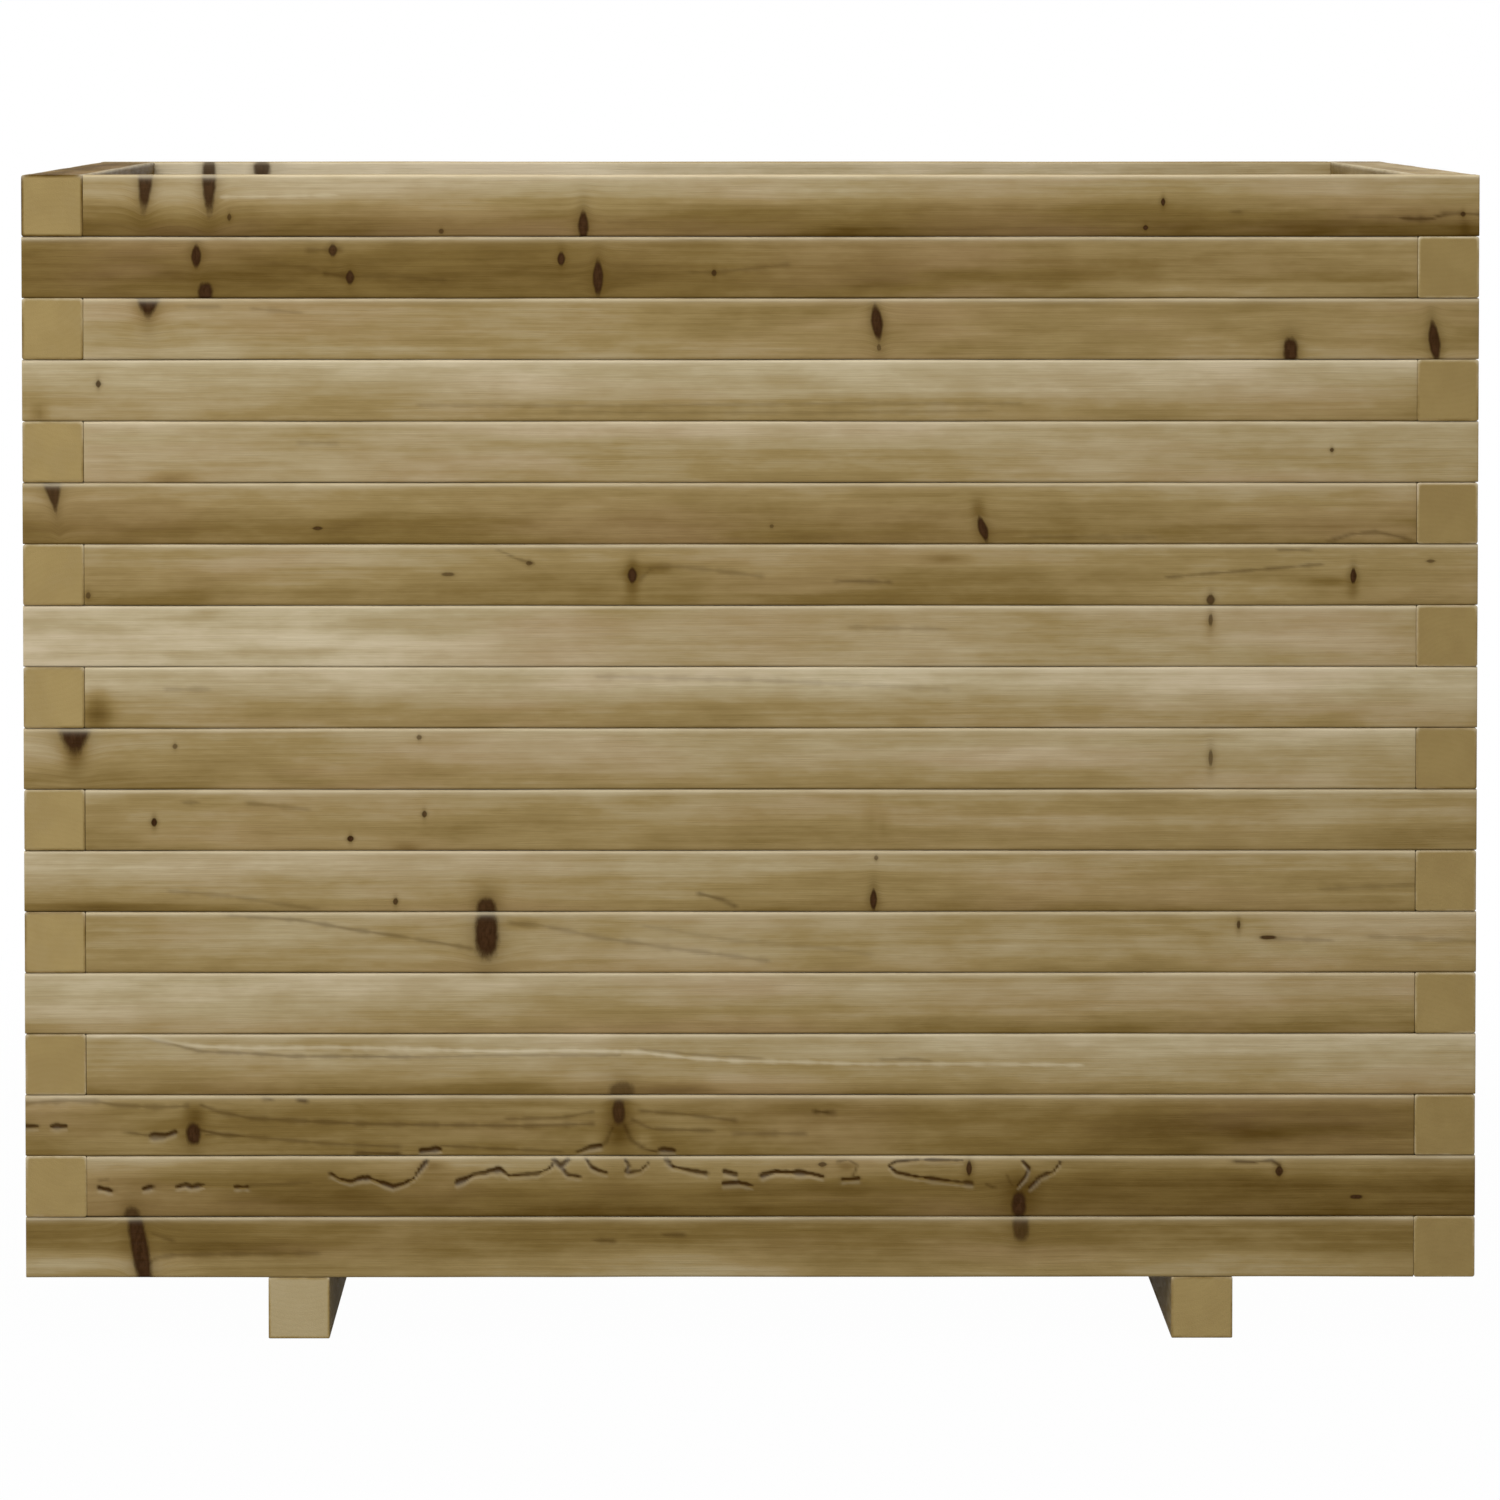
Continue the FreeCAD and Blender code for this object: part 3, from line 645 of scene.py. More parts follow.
class Wood:
    """What each point of a timber's surface looks like, gathered before it goes into the mesh.

    flow is the place in the tree: metres along the grain, and two metres across it from the
    pith, bent where the grain passes round a knot. The masks run from 0 to 1.
    """

    def __init__(self, bar, rng):
        self.bar = bar
        self.rng = rng
        side = 1 if rng.random() < 0.5 else -1
        pith_out, pith_up = rng.uniform(-25, 15) * MM, side * rng.uniform(28, 75) * MM
        self.flow_u = bar.grid_u + rng.uniform(0, 40)
        self.flow_a = bar.grid_a - pith_out
        self.flow_b = bar.grid_b - pith_up
        shape = bar.grid_u.shape
        self.halo, self.nearest = np.zeros(shape), np.full(shape, np.inf)
        self.knot = np.broadcast_to((FAR_FROM_KNOT, FAR_FROM_KNOT, 0.0), (*shape, 3))
        self.dark, self.pale = np.zeros(shape), np.zeros(shape)
        self.tone, self.warmth = np.ones(shape), np.full(shape, 0.3)

    def add_knot(self, across, upwards, half_width, half_height, fade, depth=1.0, lean=0.0, taper=0.0):
        """A knot: the squarish oval |x / w|^2.5 + |y / h|^2.5 = 1, leaning and narrowing downwards.

        across and upwards are metres from its middle. Each point keeps |x / w| and |y / h| of the
        knot nearest to it, and the material draws the ragged outline from them. A small knot
        narrows upwards and downwards to a point. Round a knot lies a stained halo, exp(-1.2 d^2),
        where d is the distance in halo reaches. The grain gives way to it as a stream does to a
        post: its height loses 0.3 of the knot's, falling with the square of the distance.
        """
        rise = upwards / half_height
        width = half_width * np.clip(1 - taper * np.clip(-rise, 0, 1), 0.15, 1)
        if half_width < SMALL_KNOT:
            width = width * (1 - SMALL_KNOT_POINT * np.clip(np.abs(rise), 0, 1) ** 1.5)
        shift = across + lean * half_width * rise
        aside = shift / width
        distance = (np.abs(aside) ** OVAL_POWER + np.abs(rise) ** OVAL_POWER) ** (1 / OVAL_POWER)
        nearer = distance < self.nearest
        self.nearest = np.where(nearer, distance, self.nearest)
        place = np.stack((np.abs(aside), np.abs(rise), depth * fade), -1)
        self.knot = np.where(nearer[..., None], np.minimum(place, FAR_FROM_KNOT), self.knot)
        share = min(1.0, half_height / HALO_FULL)
        halo_width, halo_height = width + share * HALO_ASIDE, half_height + share * HALO_UP
        beside = (shift / halo_width) ** 2 + (upwards / halo_height) ** 2
        self.halo = np.maximum(self.halo, depth * fade * np.exp(-1.2 * beside))
        wide = np.maximum((aside / 2.0) ** 2 + rise ** 2, 1.0)
        self.flow_b = self.flow_b - GRAIN_GIVES_WAY * fade * depth * upwards / wide

    def screw_hollows(self, places, upper, head_radius, depth):
        """Presses a round hollow into the upper or lower face for each screw, at (along, across)."""
        bar = self.bar
        face = bar.normal_b > 0.9 if upper else bar.normal_b < -0.9
        for along, across in places:
            distance = np.hypot(bar.grid_u - along, bar.grid_a - across)
            bar.sink(depth * face * (1 - smooth_step(head_radius, head_radius + HOLLOW_STEP, distance)))
            # Darkens the wood in and round each hollow.
            hollow_darkening = 1 - smooth_step(head_radius, head_radius + 3 * HOLLOW_STEP, distance)
            self.dark = np.maximum(self.dark, 0.5 * face * hollow_darkening)

    def layers(self):
        tone = np.clip(self.tone, 0.2, 1.8) / 2
        return {
            "flow": np.stack((self.flow_u, self.flow_a, self.flow_b), -1),
            "knots": self.knot,
            "marks": np.stack((self.dark, self.pale, self.halo), -1),
            "tones": np.stack((tone, self.warmth, self.bar.cap.astype(float), self.bar.edge), -1),
        }


def photo_places(points):
    """Where points of the front face are seen in the photograph, in pixels."""
    x = PHOTO_MIDDLE_X + points[..., 0] * PX_PER_M
    y = PHOTO_TOP_Y + (BODY_HIGH[2] - points[..., 2]) * PX_PER_M
    return x, y


def line_mask(x, y, line, swell):
    """strength * exp(-(d / width)^2), where d is the distance to the nearest stretch of the path.

    swell makes the line thicker and thinner along its way.
    """
    path = np.array(line.points, float)
    nearest = np.full(x.shape, np.inf)
    for start, step in zip(path[:-1], np.diff(path, axis=0)):
        along = np.clip(((x - start[0]) * step[0] + (y - start[1]) * step[1]) / (step @ step), 0, 1)
        gap = (x - start[0] - along * step[0]) ** 2 + (y - start[1] - along * step[1]) ** 2
        nearest = np.minimum(nearest, gap)
    return line.strength * np.exp(-nearest / (line.width * swell) ** 2)


def sway(values, amount_and_length, rng):
    """A smooth random change: wander times an amount."""
    amount, length = amount_and_length
    return amount * wander(values, length, rng)


def mark_front(wood, row, crack_depth):
    """Puts the tones, knots and lines of one row of the photograph on a front timber."""
    face, bar = FRONT_FACES[row], wood.bar
    x, y = photo_places(bar.points())
    top = PHOTO_TOP_Y + PHOTO_ROW_PX * (row - 1)
    down = np.interp((y - top) / PHOTO_ROW_PX, np.linspace(*TONES_DOWN, len(face.down)), face.down)
    across = np.interp(x, np.linspace(*TONES_ACROSS, len(face.across)), face.across)
    wood.tone = down * across
    wood.tone += sway(x + y * 2.0, FRONT_SWAY, wood.rng) + sway(y + 0.02 * x, FRONT_BANDS, wood.rng)
    wood.warmth = np.full(x.shape, face.warmth) + sway(x, FRONT_WARMTH, wood.rng)
    fade = 1 - smooth_step(*FRONT_FADE, bar.half_out - bar.grid_a)
    groove = np.zeros(x.shape)
    swell = np.clip(SWELL_MIDDLE + SWELL_REACH * wander(x, SWELL_PX, wood.rng), *SWELL_LIMITS)
    for mark in FRONT_MARKS[row]:
        if isinstance(mark, Knot):
            wood.add_knot((x - mark.x) / PX_PER_M, (mark.y - y) / PX_PER_M,
                          mark.half_width / PX_PER_M, mark.half_height / PX_PER_M, fade,
                          mark.depth, mark.lean, mark.taper)
        elif isinstance(mark, Patch):
            cloud = np.exp(-((x - mark.x) / mark.half_width) ** 2 - ((y - mark.y) / mark.half_height) ** 2)
            wood.tone = wood.tone + mark.amount * cloud * fade
        else:
            mask = line_mask(x, y, mark, swell) * fade
            # A pale line is a painted highlight along a ridge.
            if mark.kind == "pale":
                wood.pale = np.maximum(wood.pale, mask)
            else:
                wood.dark = np.maximum(wood.dark, np.minimum(mask * MARK_GAIN[mark.kind], 1))
            # A crack's dark is painted shade in the tear, and its lip gets a painted highlight.
            if mark.kind == "crack":
                groove = np.maximum(groove, mask ** 2)
                lip = line_mask(x, y - CRACK_LIP_PX, mark, swell) * fade
                wood.pale = np.maximum(wood.pale, CRACK_LIP_SHARE * lip)
    bar.sink(groove * crack_depth)


def mark_plain(wood, knots, level):
    """Gives a piece that the photograph hides seeded tones, and knots on its outer and inner face."""
    bar, rng = wood.bar, wood.rng
    along = bar.grid_u * 1000
    up = bar.grid_b / bar.half_up
    wood.tone = (level + rng.uniform(-0.03, 0.11) * up + sway(along, PLAIN_SWAY, rng)
                 + sway((bar.grid_b + bar.grid_a) * 1000, PLAIN_BANDS, rng))
    wood.warmth = rng.uniform(0.1, 0.4) + sway(along, PLAIN_WARMTH, rng)
    for place, height, half_width, half_height, side in knots:
        fade = 1 - smooth_step(*PLAIN_FADE, bar.half_out - side * bar.grid_a)
        wood.add_knot(bar.grid_u - place, bar.grid_b - height, half_width, half_height, fade, 0.9)


def plane_face(bar, sizes, rng):
    """Lowers a bar in long soft waves, by at most the unevenness, as a planer leaves it."""
    low_spots = 0.5 + 0.5 * wander(bar.grid_u * 1000, LOW_SPOT_LENGTH, rng)
    bar.sink(sizes.unevenness * np.clip(low_spots, 0, 1))


def finish_bar(name, wood, material, node):
    """Makes a marked bar's mesh and puts it in place of its node."""
    add_piece(name, wood.bar.mesh(name, wood.layers()), material, node)


def random_knots(length, count, rng):
    """Places along a timber, heights, half sizes and the face, 1 for the outer or -1 for the inner."""
    knots = []
    for _ in range(count):
        knots.append((rng.uniform(0.04, 0.96) * length, rng.uniform(-12, 12) * MM,
                      rng.uniform(1.5, 6.0) * MM, rng.uniform(2.5, 11.0) * MM,
                      1 if rng.random() < 0.7 else -1))
    return knots


Screw = namedtuple("Screw", "head shank length point sink")
TIMBER_SCREW = Screw(4.5 * MM, 2.25 * MM, 60 * MM, 6 * MM, 0.4 * MM)
FLOOR_SCREW = Screw(4.0 * MM, 2.0 * MM, 40 * MM, 5 * MM, 0.3 * MM)
# Sides of a screw that shows and of one inside the wood
SHOWN_SIDES, INSIDE_SIDES = 36, 6
# The recess in a screw's head
RECESS_DEPTH = 1.2 * MM
LOBE_SHARE = 0.16

RUNNER_X = float(sum(corner[0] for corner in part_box("right_runner"))) / 2


def close_to_hollows(places_along):
    """Where a mesh is closer for screws' hollows: (place, step, reach) for each."""
    return [(along, HOLLOW_STEP, HOLLOW_REACH) for along in places_along]


def close_to_knots(knots, step):
    """The same for knots, whose first value is their place along the piece."""
    return [(knot[0], step, KNOT_REACH) for knot in knots]


def close_to_marks(marks, right_end, step):
    """The same for the knots and cracks of a front timber, which starts at its right end."""
    close = []
    for mark in marks:
        if isinstance(mark, Knot):
            close.append((right_end - (mark.x - PHOTO_MIDDLE_X) / PX_PER_M, step, FRONT_KNOT_REACH))
        elif isinstance(mark, Line) and mark.kind == "crack":
            ends = [(point[0] - PHOTO_MIDDLE_X) / PX_PER_M for point in (mark.points[0], mark.points[-1])]
            reach = abs(ends[1] - ends[0]) / 2 + CRACK_BEYOND
            close.append((right_end - sum(ends) / 2, CRACK_STEP, reach))
    return close


def runner_screw_stations(length, sizes):
    """Places along a runner of its two screws at each end, under the middle of the wall."""
    half = sizes.runner_screw_spacing / 2
    near_end = [TIMBER_SIDE / 2 - half, TIMBER_SIDE / 2 + half]
    return near_end + [length - along for along in near_end]


def slat_boxes(sizes):
    """The corners of each floor slat, which share the floor's depth with equal gaps between."""
    low, high = (np.array(corner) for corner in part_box("floor_slats"))
    width = (high[1] - low[1] - (sizes.slat_count - 1) * sizes.slat_gap) / sizes.slat_count
    boxes = []
    for index in range(sizes.slat_count):
        y = low[1] + index * (width + sizes.slat_gap)
        boxes.append(((low[0], y, low[2]), (high[0], y + width, high[2])))
    return boxes


def timber_screws(number, length, sizes):
    """The screws that show in a wall timber: (along, across) places and the face they are in.

    Those of the top course show on the rim, and one in each timber of the lowest course from
    below, near the end that stops against the next timber. Also gives the closer stations.
    """
    from_end = sizes.screw_from_end
    if number == COURSES:
        places, upper, flat = [(from_end, 0.0), (length - from_end, 0.0)], True, 1
    elif number == 1:
        places, upper, flat = [(from_end, 0.0)], False, 3
    else:
        return [], True, [], {}
    return places, upper, close_to_hollows(along for along, _ in places), {flat: (0.0,)}


def course_boxes(number):
    """The corners and outward directions of one course's four timbers.

    In even courses the front timber fills the right front corner, the right one the right back
    corner, and so on. In odd courses each timber fills the corner at its other end.
    """
    low_z = TIMBER_LOW[2] + (number - 1) * TIMBER_SIDE
    left, right = BODY_LOW[0], BODY_HIGH[0]
    front, back = BODY_LOW[1], BODY_HIGH[1]
    cut = TIMBER_SIDE
    even = number % 2 == 0
    at_low, at_high = (cut, 0.0) if even else (0.0, cut)
    spans = {
        "front": ((left + at_low, front), (right - at_high, front + cut), (0, -1, 0)),
        "right": ((right - cut, front + at_low), (right, back - at_high), (1, 0, 0)),
        "back": ((left + at_high, back - cut), (right - at_low, back), (0, 1, 0)),
        "left": ((left, front + at_high), (left + cut, back - at_low), (-1, 0, 0)),
    }
    return {side: ((*low, low_z), (*high, low_z + cut), out) for side, (low, high, out) in spans.items()}


def colour_ramp(tree, source, stops):
    """A ramp node from (place, colour) pairs."""
    ramp = tree.nodes.new("ShaderNodeValToRGB")
    elements = ramp.color_ramp.elements
    while len(elements) < len(stops):
        elements.new(0.5)
    for element, (place, colour) in zip(elements, stops):
        element.position = place
        element.color = colour
    tree.links.new(source, ramp.inputs["Fac"])
    return ramp.outputs["Color"]


class Nodes:
    """Short ways to add nodes to one tree. A plain number or colour goes on the socket itself."""

    def __init__(self, tree):
        self.tree = tree

    def put(self, socket, value):
        if isinstance(value, bpy.types.NodeSocket):
            self.tree.links.new(value, socket)
        elif value is not None:
            socket.default_value = value

    def math(self, operation, first, second=None, clamp=False):
        node = self.tree.nodes.new("ShaderNodeMath")
        node.operation, node.use_clamp = operation, clamp
        self.put(node.inputs[0], first)
        self.put(node.inputs[1], second)
        return node.outputs[0]

    def mix(self, share, first, second, blend="MIX"):
        node = self.tree.nodes.new("ShaderNodeMix")
        node.data_type, node.blend_type, node.clamp_factor = "RGBA", blend, True
        self.put(node.inputs["Factor"], share)
        self.put(node.inputs["A"], first)
        self.put(node.inputs["B"], second)
        return node.outputs["Result"]

    def over(self, under, colour, mask, share):
        """Lays a colour over what lies under it, as far as the mask times the share says."""
        return self.mix(self.math("MULTIPLY", mask, share), under, colour)

    def scaled(self, vector, scale):
        node = self.tree.nodes.new("ShaderNodeVectorMath")
        node.operation = "MULTIPLY"
        self.put(node.inputs[0], vector)
        self.put(node.inputs[1], scale)
        return node.outputs[0]

    def noise(self, vector, scale, detail=2.0, roughness=0.5, distortion=0.0):
        node = self.tree.nodes.new("ShaderNodeTexNoise")
        self.put(node.inputs["Vector"], vector)
        node.inputs["Scale"].default_value = scale
        node.inputs["Detail"].default_value = detail
        node.inputs["Roughness"].default_value = roughness
        node.inputs["Distortion"].default_value = distortion
        return node.outputs["Fac"]

    def between(self, value, low, high, to_low=0.0, to_high=1.0):
        node = self.tree.nodes.new("ShaderNodeMapRange")
        node.interpolation_type = "SMOOTHSTEP"
        self.put(node.inputs["Value"], value)
        for name, number in zip(("From Min", "From Max", "To Min", "To Max"), (low, high, to_low, to_high)):
            self.put(node.inputs[name], number)
        return node.outputs["Result"]

    def split(self, vector):
        node = self.tree.nodes.new("ShaderNodeSeparateXYZ")
        self.put(node.inputs[0], vector)
        return node.outputs

    def split_colour(self, colour):
        node = self.tree.nodes.new("ShaderNodeSeparateColor")
        self.put(node.inputs[0], colour)
        return node.outputs

    def layer(self, name):
        node = self.tree.nodes.new("ShaderNodeAttribute")
        node.attribute_name = name
        return node

    def group(self, group, **values):
        node = self.tree.nodes.new("ShaderNodeGroup")
        node.node_tree = group
        for name, value in values.items():
            self.put(node.inputs[name.replace("_", " ")], value)
        return node.outputs


def new_group(name, inputs, outputs):
    """An empty node group. An input is a number with its default, or a vector where that is None."""
    group = bpy.data.node_groups.new(name, "ShaderNodeTree")
    for label, default in inputs.items():
        kind = "NodeSocketVector" if default is None else "NodeSocketFloat"
        socket = group.interface.new_socket(label, in_out="INPUT", socket_type=kind)
        if default is not None:
            socket.default_value = default
    for label in outputs:
        group.interface.new_socket(label, in_out="OUTPUT", socket_type="NodeSocketFloat")
    start, end = group.nodes.new("NodeGroupInput"), group.nodes.new("NodeGroupOutput")
    return group, Nodes(group), start.outputs, end.inputs


# The grain's noises: waves per metre along the grain and twice across it, detail and roughness
GRAIN_NOISES = {
    "Fibres": ((40.0, 1300.0, 1300.0), 2.0, 0.6),
    "Streaks": ((5.0, 260.0, 260.0), 3.0, 0.55),
    "Clouds": ((6.0, 42.0, 42.0), 3.0, 0.5),
    "Blots": ((26.0, 80.0, 80.0), 3.0, 0.6),
}
# How much each one changes the wood's value, between these shares of its range
GRAIN_CHANGES = (("Streaks", 0.25, 0.013), ("Fibres", 0.25, 0.009), ("Clouds", 0.30, 0.040),
                 ("Blots", 0.30, 0.024))


def grain_group():
    """Year rings round the pith with a slow wander, fine fibres along the grain and soft clouds."""
    group, n, given, made = new_group(
        "Pine grain", {"Flow": None, "Ring spacing": 0.0034}, ("Rings", *GRAIN_NOISES, "Height"))
    flow = given["Flow"]
    parts = n.split(flow)
    squares = n.math("ADD", n.math("POWER", parts["Y"], 2.0), n.math("POWER", parts["Z"], 2.0))
    radius = n.math("SQRT", squares)
    slow = n.noise(n.scaled(flow, (0.8, 9.0, 9.0)), 1.0, 2.0, 0.4)
    quick = n.noise(n.scaled(flow, (5.0, 60.0, 60.0)), 1.0, 2.0, 0.5)
    for pattern, metres in ((slow, 0.014), (quick, 0.0022)):
        radius = n.math("ADD", radius, n.math("MULTIPLY", n.math("SUBTRACT", pattern, 0.5), metres))
    phase = n.math("FRACT", n.math("DIVIDE", radius, given["Ring spacing"]))
    rings = n.math("MULTIPLY", n.between(phase, 0.15, 0.80), n.between(phase, 0.80, 1.0, 1.0, 0.0))
    noises = {name: n.noise(n.scaled(flow, scale), 1.0, detail, roughness)
              for name, (scale, detail, roughness) in GRAIN_NOISES.items()}
    n.put(made["Rings"], rings)
    for name, noise in noises.items():
        n.put(made[name], noise)
    n.put(made["Height"], n.math("ADD", n.math("MULTIPLY", rings, -0.08), noises["Fibres"]))
    return group


def wear_and_highlight_group():
    """A painted highlight on the upper rounded edges, broken up like wear: a mask that is strongest on the
    rounds and broken up by noise.
    """
    group, n, given, made = new_group("Edge wear", {"Edge": 0.0, "Flow": None}, ("Worn",))
    patches = n.noise(n.scaled(given["Flow"], (28.0, 160.0, 160.0)), 1.0, 3.0, 0.6)
    n.put(made["Worn"], n.math("MULTIPLY", given["Edge"], n.between(patches, 0.30, 0.62, 0.70, 1.0)))
    return group


def knot_group():
    """A knot's ragged outline and paler heart, from the place in its squarish oval."""
    group, n, given, made = new_group("Knot outline", {"Place": None, "Flow": None}, ("Core", "Heart"))
    parts = n.split(given["Place"])
    oval = n.math("ADD", n.math("POWER", parts["X"], OVAL_POWER), n.math("POWER", parts["Y"], OVAL_POWER))
    distance = n.math("POWER", oval, 1 / OVAL_POWER)
    ragged = n.noise(n.scaled(given["Flow"], (420.0, 420.0, 300.0)), 1.0, 3.0, 0.6)
    distance = n.math("ADD", distance, n.math("MULTIPLY", n.math("SUBTRACT", ragged, 0.5), 0.35))
    core = n.between(distance, 0.62, 1.14, 1.0, 0.0)
    mottled = n.noise(n.scaled(given["Flow"], (500.0, 260.0, 260.0)), 1.0, 3.0, 0.6)
    heart = n.between(distance, 0.25, 0.9, 1.0, 0.0)
    n.put(made["Core"], n.math("MULTIPLY", core, parts["Z"]))
    n.put(made["Heart"], n.math("MULTIPLY", heart, n.between(mottled, 0.35, 0.6)))
    return group


def group_named(name, maker):
    return bpy.data.node_groups.get(name) or maker()


def pine_material(name, colours, level=0.58, ring_depth=0.014):
    """Planed, pressure-treated pine whose grain, knots and tones follow the piece's own layers.

    One value, from dark to pale, gathers the tone, the rings, the streaks and the fibres, and a
    ramp turns it into the wood's colours, which grow browner as they darken.
    """
    material = bpy.data.materials.new(name)
    material.use_nodes = True
    tree = material.node_tree
    n = Nodes(tree)
    shader = tree.nodes["Principled BSDF"]
    flow, place, mark = (n.layer(layer).outputs["Vector"] for layer in ("flow", "knots", "marks"))
    mark, tones = n.split(mark), n.layer("tones").outputs
    tone, warmth, cap = (n.split_colour(tones["Color"])[part] for part in ("Red", "Green", "Blue"))
    grain = n.group(group_named("Pine grain", grain_group), Flow=flow)
    knot = n.group(group_named("Knot outline", knot_group), Place=place, Flow=flow)
    worn_and_lit = n.group(group_named("Edge wear", wear_and_highlight_group), Edge=tones["Alpha"], Flow=flow)["Worn"]

    value = n.math("MULTIPLY", tone, 2.0 * level)
    for pattern, low, change in GRAIN_CHANGES:
        value = n.math("ADD", value, n.between(grain[pattern], low, 1 - low, -change, change))
    value = n.math("SUBTRACT", value, n.math("MULTIPLY", grain["Rings"], ring_depth))
    wood = colour_ramp(tree, value, (
        (0.16, colours.darkest_wood), (0.33, colours.dark_wood), (0.47, colours.deep_wood),
        (0.575, colours.middle_wood), (0.675, colours.pale_wood), (0.815, colours.palest_wood)))
    warm = n.math("MULTIPLY", warmth, n.between(grain["Clouds"], 0.40, 0.64), clamp=True)
    wood = n.over(wood, colours.pink_tinge, warm, 0.45)

    darker = n.math("ADD", n.between(tone, 0.42, 0.56, 0.55, 0.0),
                    n.between(grain["Clouds"], 0.35, 0.65, -0.08, 0.12), clamp=True)
    ends = n.mix(darker, colours.end_grain, colours.deep_wood)
    ends = n.mix(n.between(tone, 0.56, 0.66, 0.0, 0.9), ends, colours.pale_wood)
    ends = n.over(ends, colours.deep_wood, grain["Rings"], 0.035)
    wood = n.over(wood, ends, cap, 0.85)

    wood = n.over(wood, colours.knot_rim, mark["Z"], 0.75)
    broken = n.between(grain["Streaks"], 0.32, 0.55, 0.7, 1.0)
    # Paints dark lines, and the shade in cracks.
    wood = n.over(wood, colours.dark_mark, mark["X"], broken)
    # Paints the highlights along ridges and on crack lips.
    wood = n.over(wood, colours.palest_wood, mark["Y"], broken)
    core = n.over(colours.knot_core, colours.knot_heart, knot["Heart"], 0.45)
    wood = n.over(wood, core, knot["Core"], 0.98)
    # Paints a highlight on the upper rounded edges, broken up like wear.
    wood = n.over(wood, colours.palest_wood, worn_and_lit, 0.50)
    n.put(shader.inputs["Base Color"], wood)
    n.put(shader.inputs["Roughness"], n.between(grain["Fibres"], 0.3, 0.7, 0.62, 0.84))
    bump = tree.nodes.new("ShaderNodeBump")
    bump.inputs["Strength"].default_value = 0.35
    bump.inputs["Distance"].default_value = 0.5 * MM
    n.put(bump.inputs["Height"], grain["Height"])
    n.put(shader.inputs["Normal"], bump.outputs["Normal"])
    shader.inputs["Specular IOR Level"].default_value = 0.06
    return material


def steel_material(colours):
    """Zinc-plated steel with fine scratches and slightly dull, yellowish patches."""
    material = bpy.data.materials.new("zinc_plated_steel")
    material.use_nodes = True
    n = Nodes(material.node_tree)
    shader = material.node_tree.nodes["Principled BSDF"]
    place = material.node_tree.nodes.new("ShaderNodeTexCoord").outputs["Object"]
    patches = n.noise(place, 260.0, 4.0, 0.6)
    scratches = n.noise(n.scaled(place, (2200.0, 300.0, 2200.0)), 1.0, 2.0, 0.7)
    plain = tuple(colours.steel)
    dull = (plain[0] * 0.72, plain[1] * 0.68, plain[2] * 0.50, 1.0)
    n.put(shader.inputs["Base Color"], n.mix(n.between(patches, 0.4, 0.65), dull, plain))
    n.put(shader.inputs["Roughness"], n.between(scratches, 0.3, 0.7, 0.28, 0.48))
    shader.inputs["Metallic"].default_value = 1.0
    return material


def timber_material():
    return bpy.data.materials.get("treated_pine") or pine_material(
        "treated_pine", bpy.context.scene.planter_colours)


class PLANTER_OT_front_timbers(bpy.types.Operator):
    """Make the front wall's timbers, with the tones, knots and tears that the photograph shows"""

    bl_idname = "planter.front_timbers"
    bl_label = "Front timbers"

    def execute(self, context):
        sizes = context.scene.planter_sizes
        for number in range(1, COURSES + 1):
            row = COURSES + 1 - number
            rng = np.random.default_rng(SEEDS["front"] + number)
            low, high, out = course_boxes(number)["front"]
            length = high[0] - low[0]
            screws, upper, near_screws, close = timber_screws(number, length, sizes)
            near = close_to_marks(FRONT_MARKS[row], high[0], sizes.front_knot_step) + near_screws
            bar = Bar(low, high, out, sizes.edge_radius, sizes.end_ease,
                      *MESH["front_rim" if row == 1 else "front"],
                      stations(length, sizes.fine_step, sizes.end_ease, near), close)
            wood = Wood(bar, rng)
            mark_front(wood, row, sizes.crack_depth)
            wood.screw_hollows(screws, upper, TIMBER_SCREW.head, sizes.hollow_depth)
            plane_face(bar, sizes, rng)
            finish_bar(f"front_timber_{number:02d}", wood, timber_material(), f"front_beam_{number:02d}")
        return {"FINISHED"}


def hidden_timbers(context, side, node):
    """The timbers of a wall that the photograph shows little of."""
    sizes = context.scene.planter_sizes
    for number in range(1, COURSES + 1):
        rim = number == COURSES
        rng = np.random.default_rng(SEEDS[side] + number)
        low, high, out = course_boxes(number)[side]
        length = abs(float(np.cross(out, UP) @ (np.array(high) - np.array(low))))
        knots = random_knots(length, int(rng.integers(2, 6)), rng)
        if rim and side == "back":
            knots = BACK_RIM_KNOTS
        screws, upper, near_screws, close = timber_screws(number, length, sizes)
        near = close_to_knots(knots, sizes.knot_step) + near_screws
        bar = Bar(low, high, out, sizes.edge_radius, sizes.end_ease, *MESH["wall_rim" if rim else "wall"],
                  stations(length, sizes.coarse_step, sizes.end_ease, near), close)
        wood = Wood(bar, rng)
        # A rim timber's level holds painted light and shade on its inner face.
        mark_plain(wood, knots, RIM_PAINTED_LIGHT_LEVELS[side] if rim else rng.uniform(*WALL_LEVELS))
        if rim and side == "back":
            places = np.linspace(0, 1, len(BACK_RIM_ACROSS))
            wood.tone *= np.interp(bar.grid_u / length, places, BACK_RIM_ACROSS)
            wood.tone *= 1 - (1 - BACK_RIM_TOP) * smooth_step(0.3, 0.9, bar.normal_b)
            # The back rim keeps less of the painted edge highlight.
            bar.edge *= BACK_RIM_WEAR_AND_HIGHLIGHT
        wood.tone = np.where(bar.cap, END_LEVELS[side] + rng.uniform(-0.03, 0.03), wood.tone)
        wood.screw_hollows(screws, upper, TIMBER_SCREW.head, sizes.hollow_depth)
        plane_face(bar, sizes, rng)
        finish_bar(f"{side}_timber_{number:02d}", wood, timber_material(), f"{node}_{number:02d}")


